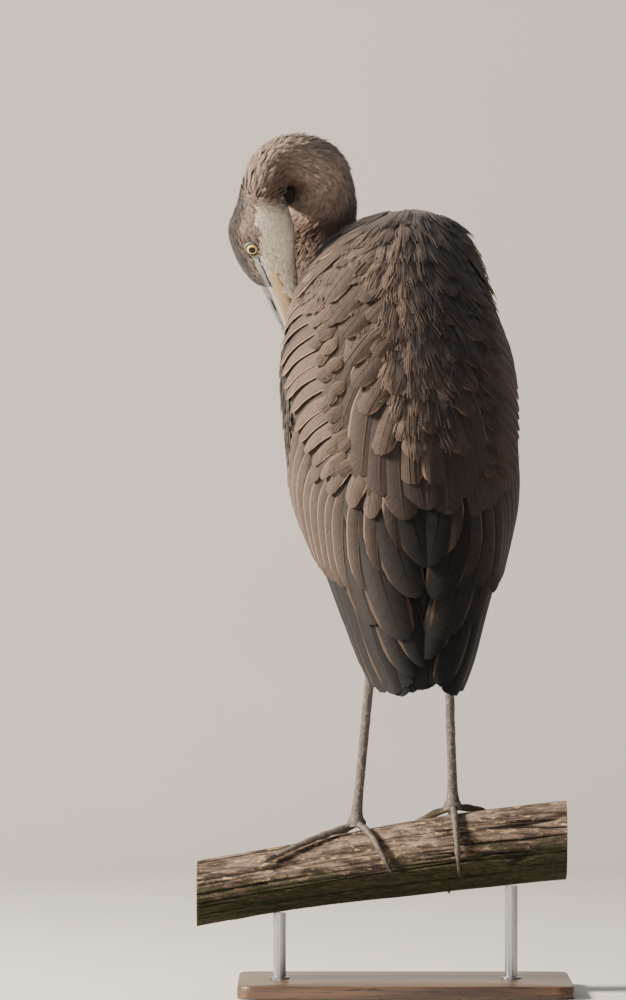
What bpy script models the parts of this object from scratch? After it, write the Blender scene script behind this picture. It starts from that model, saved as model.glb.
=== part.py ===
"""A young great blue heron preening on a cut length of branch, held by a flat display stand.

Life size, in metres, +Z up. The bird looks along +Y, away from the -Y side, and its left is -X.
The origin is the middle of the stand's underside. Everything is one still model.
"""

import math

import bmesh
import bpy
from mathutils import Matrix, Vector

GAP = 0.0003  # kept between pieces that touch

# Stand and perch.
BASE_SIZE = (0.36, 0.26, 0.014)
BASE_CORNER = 0.020
ROD_RADIUS = 0.007
ROD_PLACES = (-0.135, 0.115)
PERCH_ENDS = (-0.225, 0.175)
PERCH_RADIUS = 0.0407  # at x = 0
PERCH_TAPER = 0.016  # growth of the radius along +X
PERCH_MIDDLE = 0.1426  # height of its centre line at x = 0
PERCH_SLOPE = 0.1395
PERCH_SAG = -0.110  # bend of the centre line, per metre

# Body: leaned back from upright, and turned to its left.
BODY_PLACE = (-0.0035, -0.005, 0.600)
BODY_LEAN = math.radians(20)
BODY_TURN = math.radians(12)
SKIN_UNDER_WING = 0.002  # the trunk's plumage lies this far inside the folded wings' surface
BREAST_TAPER = 0.30  # how much narrower than an oval the body gets towards the breast's middle

# Plumage surface, along the body from tail to shoulders:
# station, half width, depth of the back, depth of the belly, shift to the right.
BODY = (
    (-0.310, 0.047, 0.044, 0.026, -0.005),
    (-0.291, 0.053, 0.049, 0.030, -0.004),
    (-0.257, 0.067, 0.056, 0.036, -0.003),
    (-0.211, 0.082, 0.066, 0.044, -0.002),
    (-0.141, 0.105, 0.078, 0.064, 0.000),
    (-0.073, 0.125, 0.088, 0.090, 0.000),
    (-0.004, 0.130, 0.095, 0.102, 0.000),
    (0.077, 0.130, 0.097, 0.106, 0.000),
    (0.128, 0.119, 0.095, 0.092, 0.000),
    (0.168, 0.106, 0.090, 0.072, 0.001),
    (0.200, 0.095, 0.080, 0.054, 0.007),
    (0.225, 0.080, 0.067, 0.040, 0.013),
    (0.243, 0.058, 0.050, 0.028, 0.019),
    (0.258, 0.022, 0.020, 0.012, 0.022),
)
# How much of that surface the trunk fills towards the tail: station, share.
TRUNK_TAPER = (
    (-0.205, 0.20),
    (-0.160, 0.50),
    (-0.110, 0.74),
    (-0.060, 0.92),
    (-0.020, 1.00),
    (0.258, 1.00),
)
# Folded wing: station, inner edge and outer edge in degrees from the back's middle, thickness.
WING_UPPER = (
    (-0.150, 2, 104, 0.013),
    (-0.085, 2, 110, 0.016),
    (-0.060, 12, 113, 0.017),
    (0.000, 30, 119, 0.020),
    (0.080, 36, 124, 0.022),
    (0.130, 38, 122, 0.020),
    (0.165, 44, 108, 0.014),
    (0.186, 58, 86, 0.007),
)
WING_TIP_LEFT = (
    (-0.306, 50, 62, 0.004),
    (-0.290, 28, 78, 0.005),
    (-0.263, 6, 89, 0.007),
    (-0.235, -3, 95, 0.009),
    (-0.190, -3, 100, 0.011),
)
WING_TIP_RIGHT = (
    (-0.306, 50, 62, 0.004),
    (-0.280, 30, 82, 0.005),
    (-0.257, 21, 90, 0.007),
    (-0.235, 8, 95, 0.009),
    (-0.190, 4.5, 100, 0.011),
)
TAIL = (
    (-0.308, -24, -10, 0.004),
    (-0.290, -32, 14, 0.005),
    (-0.270, -34, 26, 0.006),
    (-0.200, -30, 28, 0.007),
    (-0.125, -24, 24, 0.008),
)
TAIL_UNDER_WING = 0.003

# Neck: centre, radius, and the way its hind side faces.
NECK = (
    ((-0.022, 0.045, 0.648), 0.050, (0.0, -1.0, 0.4)),
    ((-0.033, 0.098, 0.662), 0.048, (0.0, -0.6, 0.8)),
    ((-0.060, 0.124, 0.708), 0.046, (0.1, -1.0, 0.3)),
    ((-0.0795, 0.129, 0.766), 0.0445, (0.6, -0.8, 0.0)),
    ((-0.0915, 0.117, 0.820), 0.0415, (1.0, -0.1, 0.1)),
    ((-0.0905, 0.099, 0.862), 0.0390, (0.7, 0.6, 0.3)),
    ((-0.096, 0.076, 0.891), 0.032, (0.4, 0.4, 0.8)),
    ((-0.123, 0.048, 0.901), 0.0262, (-0.1, 0.0, 1.0)),
    ((-0.146, 0.025, 0.889), 0.0225, (-0.7, -0.1, 0.7)),
)
NECK_NAMES = ("neck_base", "neck_lower", "neck_middle", "neck_arch", "neck_upper")

# Head: its own frame stands at the gape line under the front of the forehead feathers.
HEAD_PLACE = Vector((-0.142, 0.053, 0.765))
BILL_WAY = Vector((0.338, 0.342, -0.876))
CROWN_WAY = Vector((-0.9326, 0.2433, -0.265))
# Crown and throat as (along the bill's line, up), and half width, from the neck to the chin's tip.
HEAD = (
    ((-0.118, -0.0080), (-0.098, -0.0460), 0.0215),
    ((-0.104, 0.0010), (-0.087, -0.0440), 0.0220),
    ((-0.093, 0.0105), (-0.075, -0.0445), 0.0235),
    ((-0.080, 0.0215), (-0.061, -0.0443), 0.0235),
    ((-0.066, 0.0263), (-0.049, -0.0420), 0.0215),
    ((-0.052, 0.0273), (-0.038, -0.0385), 0.0196),
    ((-0.038, 0.0270), (-0.028, -0.0350), 0.0188),
    ((-0.025, 0.0243), (-0.018, -0.0320), 0.0176),
    ((-0.014, 0.0205), (-0.010, -0.0300), 0.0160),
    ((-0.005, 0.0150), (-0.002, -0.0280), 0.0138),
    ((0.002, 0.0060), (0.004, -0.0265), 0.0118),
    ((0.012, -0.0060), (0.013, -0.0235), 0.0085),
    ((0.021, -0.0110), (0.021, -0.0200), 0.0060),
    ((0.029, -0.0125), (0.029, -0.0160), 0.0025),
)
NAPE = 2  # the row of HEAD at the cut between neck and head
EYE_PLACE = (-0.053, 0.003, 0.0128)  # along the bill's line, up, out
EYE_RADIUS = 0.009
BILL_ROOT = -0.012
BILL_LENGTH = 0.132
CULMEN_HEIGHT = 0.013
MANDIBLE_DEPTH = 0.0125
BILL_HALF_WIDTH = 0.0095
BILL_TIP_RADIUS = 0.0008

# Legs: knee inside the belly, end of the feathered thigh, ankle, foot on the perch.
LEGS = {
    "left": {
        "knee": (-0.046, 0.030, 0.575),
        "feather_end": (-0.040, 0.010, 0.432),
        "ankle": (-0.0365, -0.021, 0.354),
        "foot_x": -0.052,
    },
    "right": {
        "knee": (0.046, 0.030, 0.575),
        "feather_end": (0.048, 0.010, 0.436),
        "ankle": (0.047, -0.021, 0.362),
        "foot_x": 0.052,
    },
}
THIGH_RADII = (0.040, 0.038, 0.029, 0.018, 0.0105)
SHANK_RADIUS = 0.0068
ANKLE_RADIUS = 0.0088
TARSUS_RADIUS = 0.0056
PALM_RADIUS = 0.0125
PALM_HEIGHT = 0.010

# Toes, hind toe first: direction on the unrolled bark, in degrees from +X towards +Y, and length.
TOES = {
    "left": ((-63, 0.058), (70, 0.064), (126, 0.088), (202, 0.082)),
    "right": ((-86, 0.058), (144, 0.060), (92, 0.088), (36, 0.080)),
}
TOE_START = PALM_RADIUS + GAP
TOE_RADIUS = 0.0045
TOE_TIP_RADIUS = 0.0032
CLAW_LENGTH = 0.017
CLAW_TIP_RADIUS = 0.0005

COLOURS = {
    "back_feathers": ((0.14, 0.12, 0.11), 0.85),
    "wing_feathers": ((0.16, 0.13, 0.115), 0.8),
    "flight_feathers": ((0.035, 0.04, 0.045), 0.7),
    "neck_feathers": ((0.24, 0.17, 0.13), 0.85),
    "head_feathers": ((0.22, 0.19, 0.17), 0.85),
    "horn": ((0.42, 0.37, 0.24), 0.45),
    "eye": ((0.62, 0.50, 0.16), 0.15),
    "leg_skin": ((0.18, 0.165, 0.15), 0.6),
    "claw": ((0.06, 0.055, 0.05), 0.4),
    "bark": ((0.30, 0.24, 0.17), 0.9),
    "stand_board": ((0.05, 0.045, 0.04), 0.6),
    "stand_steel": ((0.5, 0.5, 0.5), 0.35),
}


def clear_scene():
    for thing in list(bpy.data.objects):
        bpy.data.objects.remove(thing, do_unlink=True)


def material(name):
    """The Principled material of one of the named colours."""
    found = bpy.data.materials.get(name)
    if found:
        return found
    colour, roughness = COLOURS[name]
    made = bpy.data.materials.new(name)
    made.use_nodes = True
    shader = made.node_tree.nodes["Principled BSDF"]
    shader.inputs["Base Color"].default_value = (*colour, 1.0)
    shader.inputs["Roughness"].default_value = roughness
    shader.inputs["Metallic"].default_value = 1.0 if name == "stand_steel" else 0.0
    return made


def smooth(table, x):
    """The values at x of a smooth curve through the table's rows, whose first column ascends."""
    if x <= table[0][0]:
        return table[0][1:]
    if x >= table[-1][0]:
        return table[-1][1:]
    i = max(k for k in range(len(table) - 1) if table[k][0] <= x)
    start, end = table[i], table[i + 1]
    before = table[max(i - 1, 0)]
    after = table[min(i + 2, len(table) - 1)]
    span = end[0] - start[0]
    t = (x - start[0]) / span
    values = []
    for k in range(1, len(start)):
        slope_in = (end[k] - before[k]) / (end[0] - before[0]) * span
        slope_out = (after[k] - start[k]) / (after[0] - start[0]) * span
        rise = end[k] - start[k]
        values.append(
            start[k] + t * slope_in
            + t * t * (3 * rise - 2 * slope_in - slope_out)
            + t * t * t * (slope_in + slope_out - 2 * rise)
        )
    return tuple(values)


def spread(low, high, count):
    """Evenly spaced values from low to high, both included."""
    return [low + (high - low) * i / (count - 1) for i in range(count)]


def make_object(name, mesh_data, colour, parent=None):
    """A smooth-shaded object from a bmesh, in its named material."""
    bmesh.ops.recalc_face_normals(mesh_data, faces=mesh_data.faces)
    mesh = bpy.data.meshes.new(name)
    mesh_data.to_mesh(mesh)
    mesh_data.free()
    mesh.materials.append(material(colour))
    mesh.shade_smooth()
    mesh.set_sharp_from_angle(angle=math.radians(50))
    thing = bpy.data.objects.new(name, mesh)
    bpy.context.scene.collection.objects.link(thing)
    thing.parent = parent
    return thing


def loft(name, rings, colour, parent=None):
    """A closed skin over rings of points; each end is capped, or runs to its one point."""
    mesh_data = bmesh.new()
    rows = [[mesh_data.verts.new(point) for point in ring] for ring in rings]
    for low, high in zip(rows, rows[1:]):
        count = max(len(low), len(high))
        for k in range(count):
            after = (k + 1) % count
            if len(low) == 1:
                mesh_data.faces.new((low[0], high[after], high[k]))
            elif len(high) == 1:
                mesh_data.faces.new((low[k], low[after], high[0]))
            else:
                mesh_data.faces.new((low[k], low[after], high[after], high[k]))
    for row in (rows[0], rows[-1]):
        if len(row) > 1:
            mesh_data.faces.new(row)
    return make_object(name, mesh_data, colour, parent)


def ring(centre, side, up, half_width, half_up, half_down, count=16):
    """An oval round centre that may reach further up than down."""
    points = []
    for k in range(count):
        angle = 2 * math.pi * k / count
        rise = math.sin(angle)
        reach = half_up if rise > 0 else half_down
        points.append(centre + side * (half_width * math.cos(angle)) + up * (reach * rise))
    return points


def tube_rings(points, radii, up=Vector((0, 1, 0)), count=12, start=None, end=None):
    """Round rings square to a path, turned so that up stays up; the end ones may be given a way."""
    rings = []
    for i, point in enumerate(points):
        along = (points[min(i + 1, len(points) - 1)] - points[max(i - 1, 0)]).normalized()
        if i == 0 and start:
            along = start
        if i == len(points) - 1 and end:
            along = end
        side = along.cross(up).normalized()
        rings.append(ring(point, side, side.cross(along), radii[i], radii[i], radii[i], count))
    return rings


def cut(thing, cutter):
    """Take the cutter's volume from thing, then drop the cutter."""
    modifier = thing.modifiers.new("cut", "BOOLEAN")
    modifier.operation = "DIFFERENCE"
    modifier.solver = "EXACT"
    modifier.object = cutter
    bpy.context.view_layer.update()
    evaluated = thing.evaluated_get(bpy.context.evaluated_depsgraph_get())
    result = bpy.data.meshes.new_from_object(evaluated)
    thing.modifiers.clear()
    thing.data = result
    bpy.data.objects.remove(cutter, do_unlink=True)


# ---------------------------------------------------------------- body, wings and tail


def body_frame():
    """An empty whose Z runs from tail to shoulders, with the back towards its -Y."""
    frame = bpy.data.objects.new("body_frame", None)
    bpy.context.scene.collection.objects.link(frame)
    frame.location = BODY_PLACE
    turn = Matrix.Rotation(BODY_TURN, 4, "Z")
    lean = Matrix.Rotation(-BODY_LEAN, 4, "X")
    frame.rotation_euler = (turn @ lean).to_euler()
    bpy.context.view_layer.update()
    return frame


def plumage(station, angle, inset, share=1.0):
    """A point on the plumage's surface; angle 0 is the back's middle, positive to the right."""
    half_width, back, belly, shift = smooth(BODY, station)
    depth = back if math.cos(angle) > 0 else belly
    taper = 1 - BREAST_TAPER * min(math.cos(angle), 0.0) ** 2
    x = shift + (half_width * share - inset) * math.sin(angle) * taper
    y = -(depth * share - inset) * math.cos(angle)
    return Vector((x, y, station))


def trunk_solid(name, frame, grow):
    """The trunk's plumage, from the under-tail feathers to the mantle."""
    stations = spread(TRUNK_TAPER[0][0], BODY[-1][0], 18)
    rings = []
    for station in stations:
        share = smooth(TRUNK_TAPER, station)[0]
        angles = [2 * math.pi * k / 24 for k in range(24)]
        rings.append([plumage(station, angle, SKIN_UNDER_WING - grow, share) for angle in angles])
    rings.insert(0, [Vector((0, 0, stations[0] - 0.008 - grow))])
    rings.append([Vector((BODY[-1][4], 0, stations[-1] + 0.003 + grow))])
    return loft(name, rings, "back_feathers", frame)


def shell(name, frame, table, side, rows, columns, colour, inset=0.0, grow=0.0, cover=0.0):
    """A shell under the plumage's surface between two edges, such as a folded wing.

    side is 1 on the right and -1 on the left; grow widens it all round and cover lifts its outer
    face, to make a cutter for what it lies on.
    """
    outer, inner = [], []
    for station in spread(table[0][0], table[-1][0], rows):
        low, high, thickness = smooth(table, station)
        widen = math.degrees(grow / 0.06)
        outer_row, inner_row = [], []
        for k in range(columns):
            share = k / (columns - 1)
            angle = math.radians(low - widen + (high - low + 2 * widen) * share)
            depth = inset + thickness * (0.35 + 0.65 * math.sin(math.pi * share))
            outer_row.append(plumage(station, side * angle, inset - cover))
            inner_row.append(plumage(station, side * angle, depth + grow))
        outer.append(outer_row)
        inner.append(inner_row)
    if grow:
        for rows_list in (outer, inner):
            rows_list[0] = [point - Vector((0, 0, grow)) for point in rows_list[0]]
            rows_list[-1] = [point + Vector((0, 0, grow)) for point in rows_list[-1]]
    rings = [a + b[::-1] for a, b in zip(outer, inner)]
    return loft(name, rings, colour, frame)


def make_body():
    frame = body_frame()
    trunk = trunk_solid("trunk", frame, 0.0)
    wings = (("left", -1, WING_TIP_LEFT), ("right", 1, WING_TIP_RIGHT))
    for name, side, tip in wings:
        table = tip + WING_UPPER
        shell("wing_" + name, frame, table, side, 24, 12, "wing_feathers")
        cutter = shell("cutter", frame, table, side, 24, 12, "wing_feathers",
                       grow=0.0014, cover=0.006)
        cut(trunk, cutter)
    tail_inset = max(row[3] for row in WING_TIP_LEFT) + TAIL_UNDER_WING
    shell("tail", frame, TAIL, 1, 9, 9, "flight_feathers", inset=tail_inset)
    return frame


# ---------------------------------------------------------------- neck, head, bill and eyes


def head_point(along, up, out=0.0):
    """A point in the head's frame; out is to the bird's left."""
    left = CROWN_WAY.cross(BILL_WAY)
    return HEAD_PLACE + BILL_WAY * along + CROWN_WAY * up + left * out


def head_stop(row):
    """Centre, side, up and half sizes of one of the head's ovals."""
    crown = head_point(*row[0])
    throat = head_point(*row[1])
    side = BILL_WAY.cross(CROWN_WAY)
    return (crown + throat) / 2, side, (crown - throat).normalized(), row[2], (crown - throat).length / 2


def neck_sections():
    """A table of the ovals along the neck to the nape, by length, and that length."""
    places = [Vector(row[0]) for row in NECK]
    head_stops = [head_stop(row) for row in HEAD[:NAPE + 2]]
    places.append(head_stops[0][0])
    stops = []
    for i, (place, radius, hind) in enumerate(NECK):
        along = places[i + 1] - places[max(i - 1, 0)]
        side = along.cross(Vector(hind)).normalized()
        stops.append((Vector(place), side, side.cross(along).normalized(), radius, radius))
    stops += head_stops
    lengths = [0.0]
    for a, b in zip(stops, stops[1:]):
        lengths.append(lengths[-1] + (b[0] - a[0]).length)
    table = [(s, *stop[0], *stop[1], *stop[2], *stop[3:]) for s, stop in zip(lengths, stops)]
    return table, lengths[-2]


def neck_ring(table, s):
    """The neck's oval at length s along it."""
    row = smooth(table, s)
    side = Vector(row[3:6]).normalized()
    up = Vector(row[6:9])
    up = (up - side * up.dot(side)).normalized()
    return ring(Vector(row[:3]), side, up, row[9], row[10], row[10], 16)


def make_neck(frame):
    """The neck in lengths that meet at thin cuts, the lowest ones let into the trunk."""
    table, full = neck_sections()
    count = len(NECK_NAMES)
    for i, name in enumerate(NECK_NAMES):
        low = full * i / count + (GAP / 2 if i else 0)
        high = full * (i + 1) / count - GAP / 2
        piece = loft(name, [neck_ring(table, s) for s in spread(low, high, 6)], "neck_feathers")
        if i < 3:
            cut(piece, trunk_solid("cutter", frame, 0.0012))
    return table, full


def head_solid(table, full):
    """The head with the feathered chin, from the neck's last cut forwards."""
    rings = [neck_ring(table, full + GAP / 2)]
    for row in HEAD[NAPE + 1:]:
        centre, side, up, half_width, half = head_stop(row)
        rings.append(ring(centre, side, up, half_width, half, half, 16))
    return loft("head", rings, "head_feathers")


def bill_half(name, upper, grow):
    """One mandible: an arch over the flat gape line that tapers to the tip."""
    side = 1 if upper else -1
    rings = []
    for along in (BILL_ROOT, 0.0, 0.02, 0.045, 0.07, 0.095, 0.115, BILL_LENGTH - 0.003):
        share = max(along, 0.0) / BILL_LENGTH
        if upper:
            height = CULMEN_HEIGHT * (1 - share) ** 0.65
        else:
            height = MANDIBLE_DEPTH * (1 - share ** 1.8) ** 0.95
        height = max(height, BILL_TIP_RADIUS) + grow
        half_width = max(BILL_HALF_WIDTH * (1 - share) ** 0.8, BILL_TIP_RADIUS) + grow
        flat = (GAP / 2 - grow) * side
        reach = along - grow if along == BILL_ROOT else along
        points = []
        for k in range(9):
            angle = math.pi * k / 8
            points.append(head_point(reach, flat + side * height * math.sin(angle),
                                     half_width * math.cos(angle)))
        rings.append(points)
    return loft(name, rings, "horn")


def eyeball(name, side, grow):
    mesh_data = bmesh.new()
    bmesh.ops.create_icosphere(mesh_data, subdivisions=2, radius=EYE_RADIUS + grow)
    along, up, out = EYE_PLACE
    bmesh.ops.translate(mesh_data, verts=mesh_data.verts, vec=head_point(along, up, side * out))
    return make_object(name, mesh_data, "eye")


def make_head(table, full):
    head = head_solid(table, full)
    for name, upper in (("bill_upper", True), ("bill_lower", False)):
        bill_half(name, upper, 0.0)
        cut(head, bill_half("cutter", upper, GAP))
    for name, side in (("eye_left", 1), ("eye_right", -1)):
        eyeball(name, side, 0.0)
        cut(head, eyeball("cutter", side, GAP))


# ---------------------------------------------------------------- perch and stand


def perch_radius(x, angle):
    """The bark's radius, with slow swellings and flats."""
    swell = 0.020 * math.sin(17 * x + 0.6) + 0.018 * math.sin(2 * angle + 9 * x)
    return (PERCH_RADIUS + PERCH_TAPER * x) * (1 + swell)


def perch_centre(x):
    return PERCH_MIDDLE + PERCH_SLOPE * x + PERCH_SAG * x * x


def bark_point(x, arc, lift):
    """A point over the bark; arc is the way round from its top towards +Y."""
    angle = arc / PERCH_RADIUS
    reach = perch_radius(x, angle) + lift
    return Vector((x, reach * math.sin(angle), perch_centre(x) + reach * math.cos(angle)))


def perch_solid(name, grow):
    around = 18
    rings = []
    for x in spread(PERCH_ENDS[0] - grow, PERCH_ENDS[1] + grow, 16):
        arcs = [2 * math.pi * PERCH_RADIUS * k / around for k in range(around)]
        rings.append([bark_point(x, arc, grow) for arc in arcs])
    return loft(name, rings, "bark")


def make_stand():
    """A flat board with rounded corners, and two rods cut to the branch's underside."""
    length, depth, height = BASE_SIZE
    mesh_data = bmesh.new()
    corners = []
    for cx, cy, start in ((1, 1, 0), (-1, 1, 90), (-1, -1, 180), (1, -1, 270)):
        for step in spread(0, 90, 5):
            angle = math.radians(start + step)
            x = cx * (length / 2 - BASE_CORNER) + BASE_CORNER * math.cos(angle)
            y = cy * (depth / 2 - BASE_CORNER) + BASE_CORNER * math.sin(angle)
            corners.append(mesh_data.verts.new((x, y, 0)))
    bottom = mesh_data.faces.new(corners)
    raised = bmesh.ops.extrude_face_region(mesh_data, geom=[bottom])["geom"]
    top_verts = [item for item in raised if isinstance(item, bmesh.types.BMVert)]
    bmesh.ops.translate(mesh_data, verts=top_verts, vec=(0, 0, height))
    make_object("stand_base", mesh_data, "stand_board")
    for name, x in zip(("stand_rod_left", "stand_rod_right"), ROD_PLACES):
        path = [Vector((x, 0, height + GAP)), Vector((x, 0, perch_centre(x)))]
        rod = loft(name, tube_rings(path, (ROD_RADIUS, ROD_RADIUS), count=16), "stand_steel")
        cut(rod, perch_solid("cutter", GAP))


# ---------------------------------------------------------------- legs and feet


def make_leg(side, frame):
    leg = LEGS[side]
    knee, feather_end, ankle = (Vector(leg[key]) for key in ("knee", "feather_end", "ankle"))
    steps = spread(0.0, 1.0, len(THIGH_RADII))
    thigh_path = [knee.lerp(feather_end, step) for step in steps]
    down = (ankle - feather_end).normalized()
    bend = (down + (feather_end - knee).normalized()).normalized()
    thigh_rings = tube_rings(thigh_path, THIGH_RADII, count=14, end=bend)
    cut(loft("thigh_" + side, thigh_rings, "neck_feathers"), trunk_solid("cutter", frame, 0.0005))

    joint_top = ankle - down * 0.014
    shank_path = [feather_end + bend * GAP, feather_end.lerp(joint_top, 0.5), joint_top]
    shank_radii = (0.0082, SHANK_RADIUS, SHANK_RADIUS)
    shank_rings = tube_rings(shank_path, shank_radii, count=10, start=bend, end=down)
    loft("shank_" + side, shank_rings, "leg_skin")

    # the tarsus starts with the ankle's swelling and spreads below into the palm
    palm = bark_point(leg["foot_x"], 0.0, GAP)
    along_bark = bark_point(leg["foot_x"] - 0.01, 0.0, 0.0) - bark_point(leg["foot_x"] + 0.01, 0.0, 0.0)
    along_bark.normalize()
    sole_rings = []
    for lift, radius in ((0.0, 0.007), (0.0035, 0.0115), (0.0065, PALM_RADIUS), (0.010, 0.0105)):
        sole_rings.append(ring(palm + Vector((0, 0, lift)), along_bark, Vector((0, -1, 0)),
                               radius, radius, radius, 12))
    shaft_foot = palm + Vector((0, 0, PALM_HEIGHT + 0.004))
    path = [joint_top + down * GAP, ankle - down * 0.004, ankle + Vector((0, 0, -0.010))]
    path += [ankle.lerp(shaft_foot, step) for step in (0.17, 0.45, 0.75, 0.93, 1.0)]
    radii = (0.0070, ANKLE_RADIUS, 0.0080, 0.0062, TARSUS_RADIUS, TARSUS_RADIUS, 0.0066, 0.0080)
    shaft = tube_rings(path, radii, up=Vector((0, -1, 0)), count=12, start=down)
    loft("tarsus_" + side, shaft + sole_rings[::-1], "leg_skin")


def make_toes(side):
    """Four toes and claws that follow the bark from the palm."""
    foot_x = LEGS[side]["foot_x"]
    for number, (degrees, length) in enumerate(TOES[side], start=1):
        way = (math.cos(math.radians(degrees)), math.sin(math.radians(degrees)))
        name = side + "_" + str(number)

        def on_bark(distance, lift):
            return bark_point(foot_x + way[0] * distance, way[1] * distance, lift)

        distances = spread(TOE_START, TOE_START + length, 9)
        radii = [TOE_RADIUS + (TOE_TIP_RADIUS - TOE_RADIUS) * k / 8 for k in range(9)]
        path = [on_bark(s, r + 0.0006) for s, r in zip(distances, radii)]
        outward = path[4] - Vector((path[4].x, 0, perch_centre(path[4].x)))
        loft("toe_" + name, tube_rings(path, radii, up=outward, count=8), "leg_skin")

        # the claw's root face is parallel to the toe's last face, and its rest arches to the bark
        end = distances[-1]
        along = (path[-1] - path[-2]).normalized()
        root_radius = TOE_TIP_RADIUS * 0.85
        root = path[-1] + along * GAP
        claw_path, claw_radii = [root, root + along * 0.003], [root_radius, root_radius]
        for share in (0.45, 0.72, 1.0):
            radius = root_radius * (1 - share) + CLAW_TIP_RADIUS * share
            arch = 0.004 * math.sin(math.pi * share)
            claw_path.append(on_bark(end + CLAW_LENGTH * share, radius + 0.0006 + arch))
            claw_radii.append(radius)
        loft("claw_" + name, tube_rings(claw_path, claw_radii, up=outward, count=7), "claw")


def build():
    clear_scene()
    frame = make_body()
    table, full = make_neck(frame)
    make_head(table, full)
    perch_solid("perch", 0.0)
    make_stand()
    for side in ("left", "right"):
        make_leg(side, frame)
        make_toes(side)


build()
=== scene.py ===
"""A young great blue heron preening on a dry branch, as a still model on a museum stand."""

import math

import bmesh
import bpy
import numpy as np
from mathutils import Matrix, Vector


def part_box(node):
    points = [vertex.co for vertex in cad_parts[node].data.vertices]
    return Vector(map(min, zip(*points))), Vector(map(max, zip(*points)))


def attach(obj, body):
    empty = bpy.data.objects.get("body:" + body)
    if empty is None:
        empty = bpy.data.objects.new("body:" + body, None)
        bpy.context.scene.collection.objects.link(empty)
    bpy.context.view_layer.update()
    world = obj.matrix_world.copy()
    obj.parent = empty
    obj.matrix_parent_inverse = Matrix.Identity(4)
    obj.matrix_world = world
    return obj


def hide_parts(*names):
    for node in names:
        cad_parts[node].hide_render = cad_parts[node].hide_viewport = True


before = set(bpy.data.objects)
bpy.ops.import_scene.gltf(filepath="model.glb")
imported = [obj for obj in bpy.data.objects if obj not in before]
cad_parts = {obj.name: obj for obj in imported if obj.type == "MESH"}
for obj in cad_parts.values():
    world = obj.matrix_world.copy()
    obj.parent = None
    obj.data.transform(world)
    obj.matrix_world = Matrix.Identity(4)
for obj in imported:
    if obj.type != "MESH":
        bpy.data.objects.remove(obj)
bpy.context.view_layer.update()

# ------------------------------------------------------------------ camera, floor and light
# A long lens level with the bird's body, a pale floor that sweeps up into a plain wall, and
# soft lamps: a warm one from the left, a weak wide one in front and one overhead.

SENSOR = 36  # millimetres
CAMERA_AWAY = 8.0
VIEW_HEIGHT = 1.08

camera_data = bpy.data.cameras.new("camera")
camera_data.lens = SENSOR * CAMERA_AWAY / VIEW_HEIGHT
camera_data.sensor_width = SENSOR
camera_data.clip_end = 100
camera = bpy.data.objects.new("camera", camera_data)
camera.location = (-0.099, -CAMERA_AWAY, 0.531)
camera.rotation_euler = (math.radians(90), 0, 0)
bpy.context.scene.collection.objects.link(camera)
bpy.context.scene.camera = camera


def paint(red, green, blue):
    """A scene-linear colour from screen values of 0 to 255."""
    values = np.array([red, green, blue], float) / 255
    linear = np.where(values <= 0.04045, values / 12.92, ((values + 0.055) / 1.055) ** 2.4)
    return (*(float(value) for value in linear), 1.0)


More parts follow.
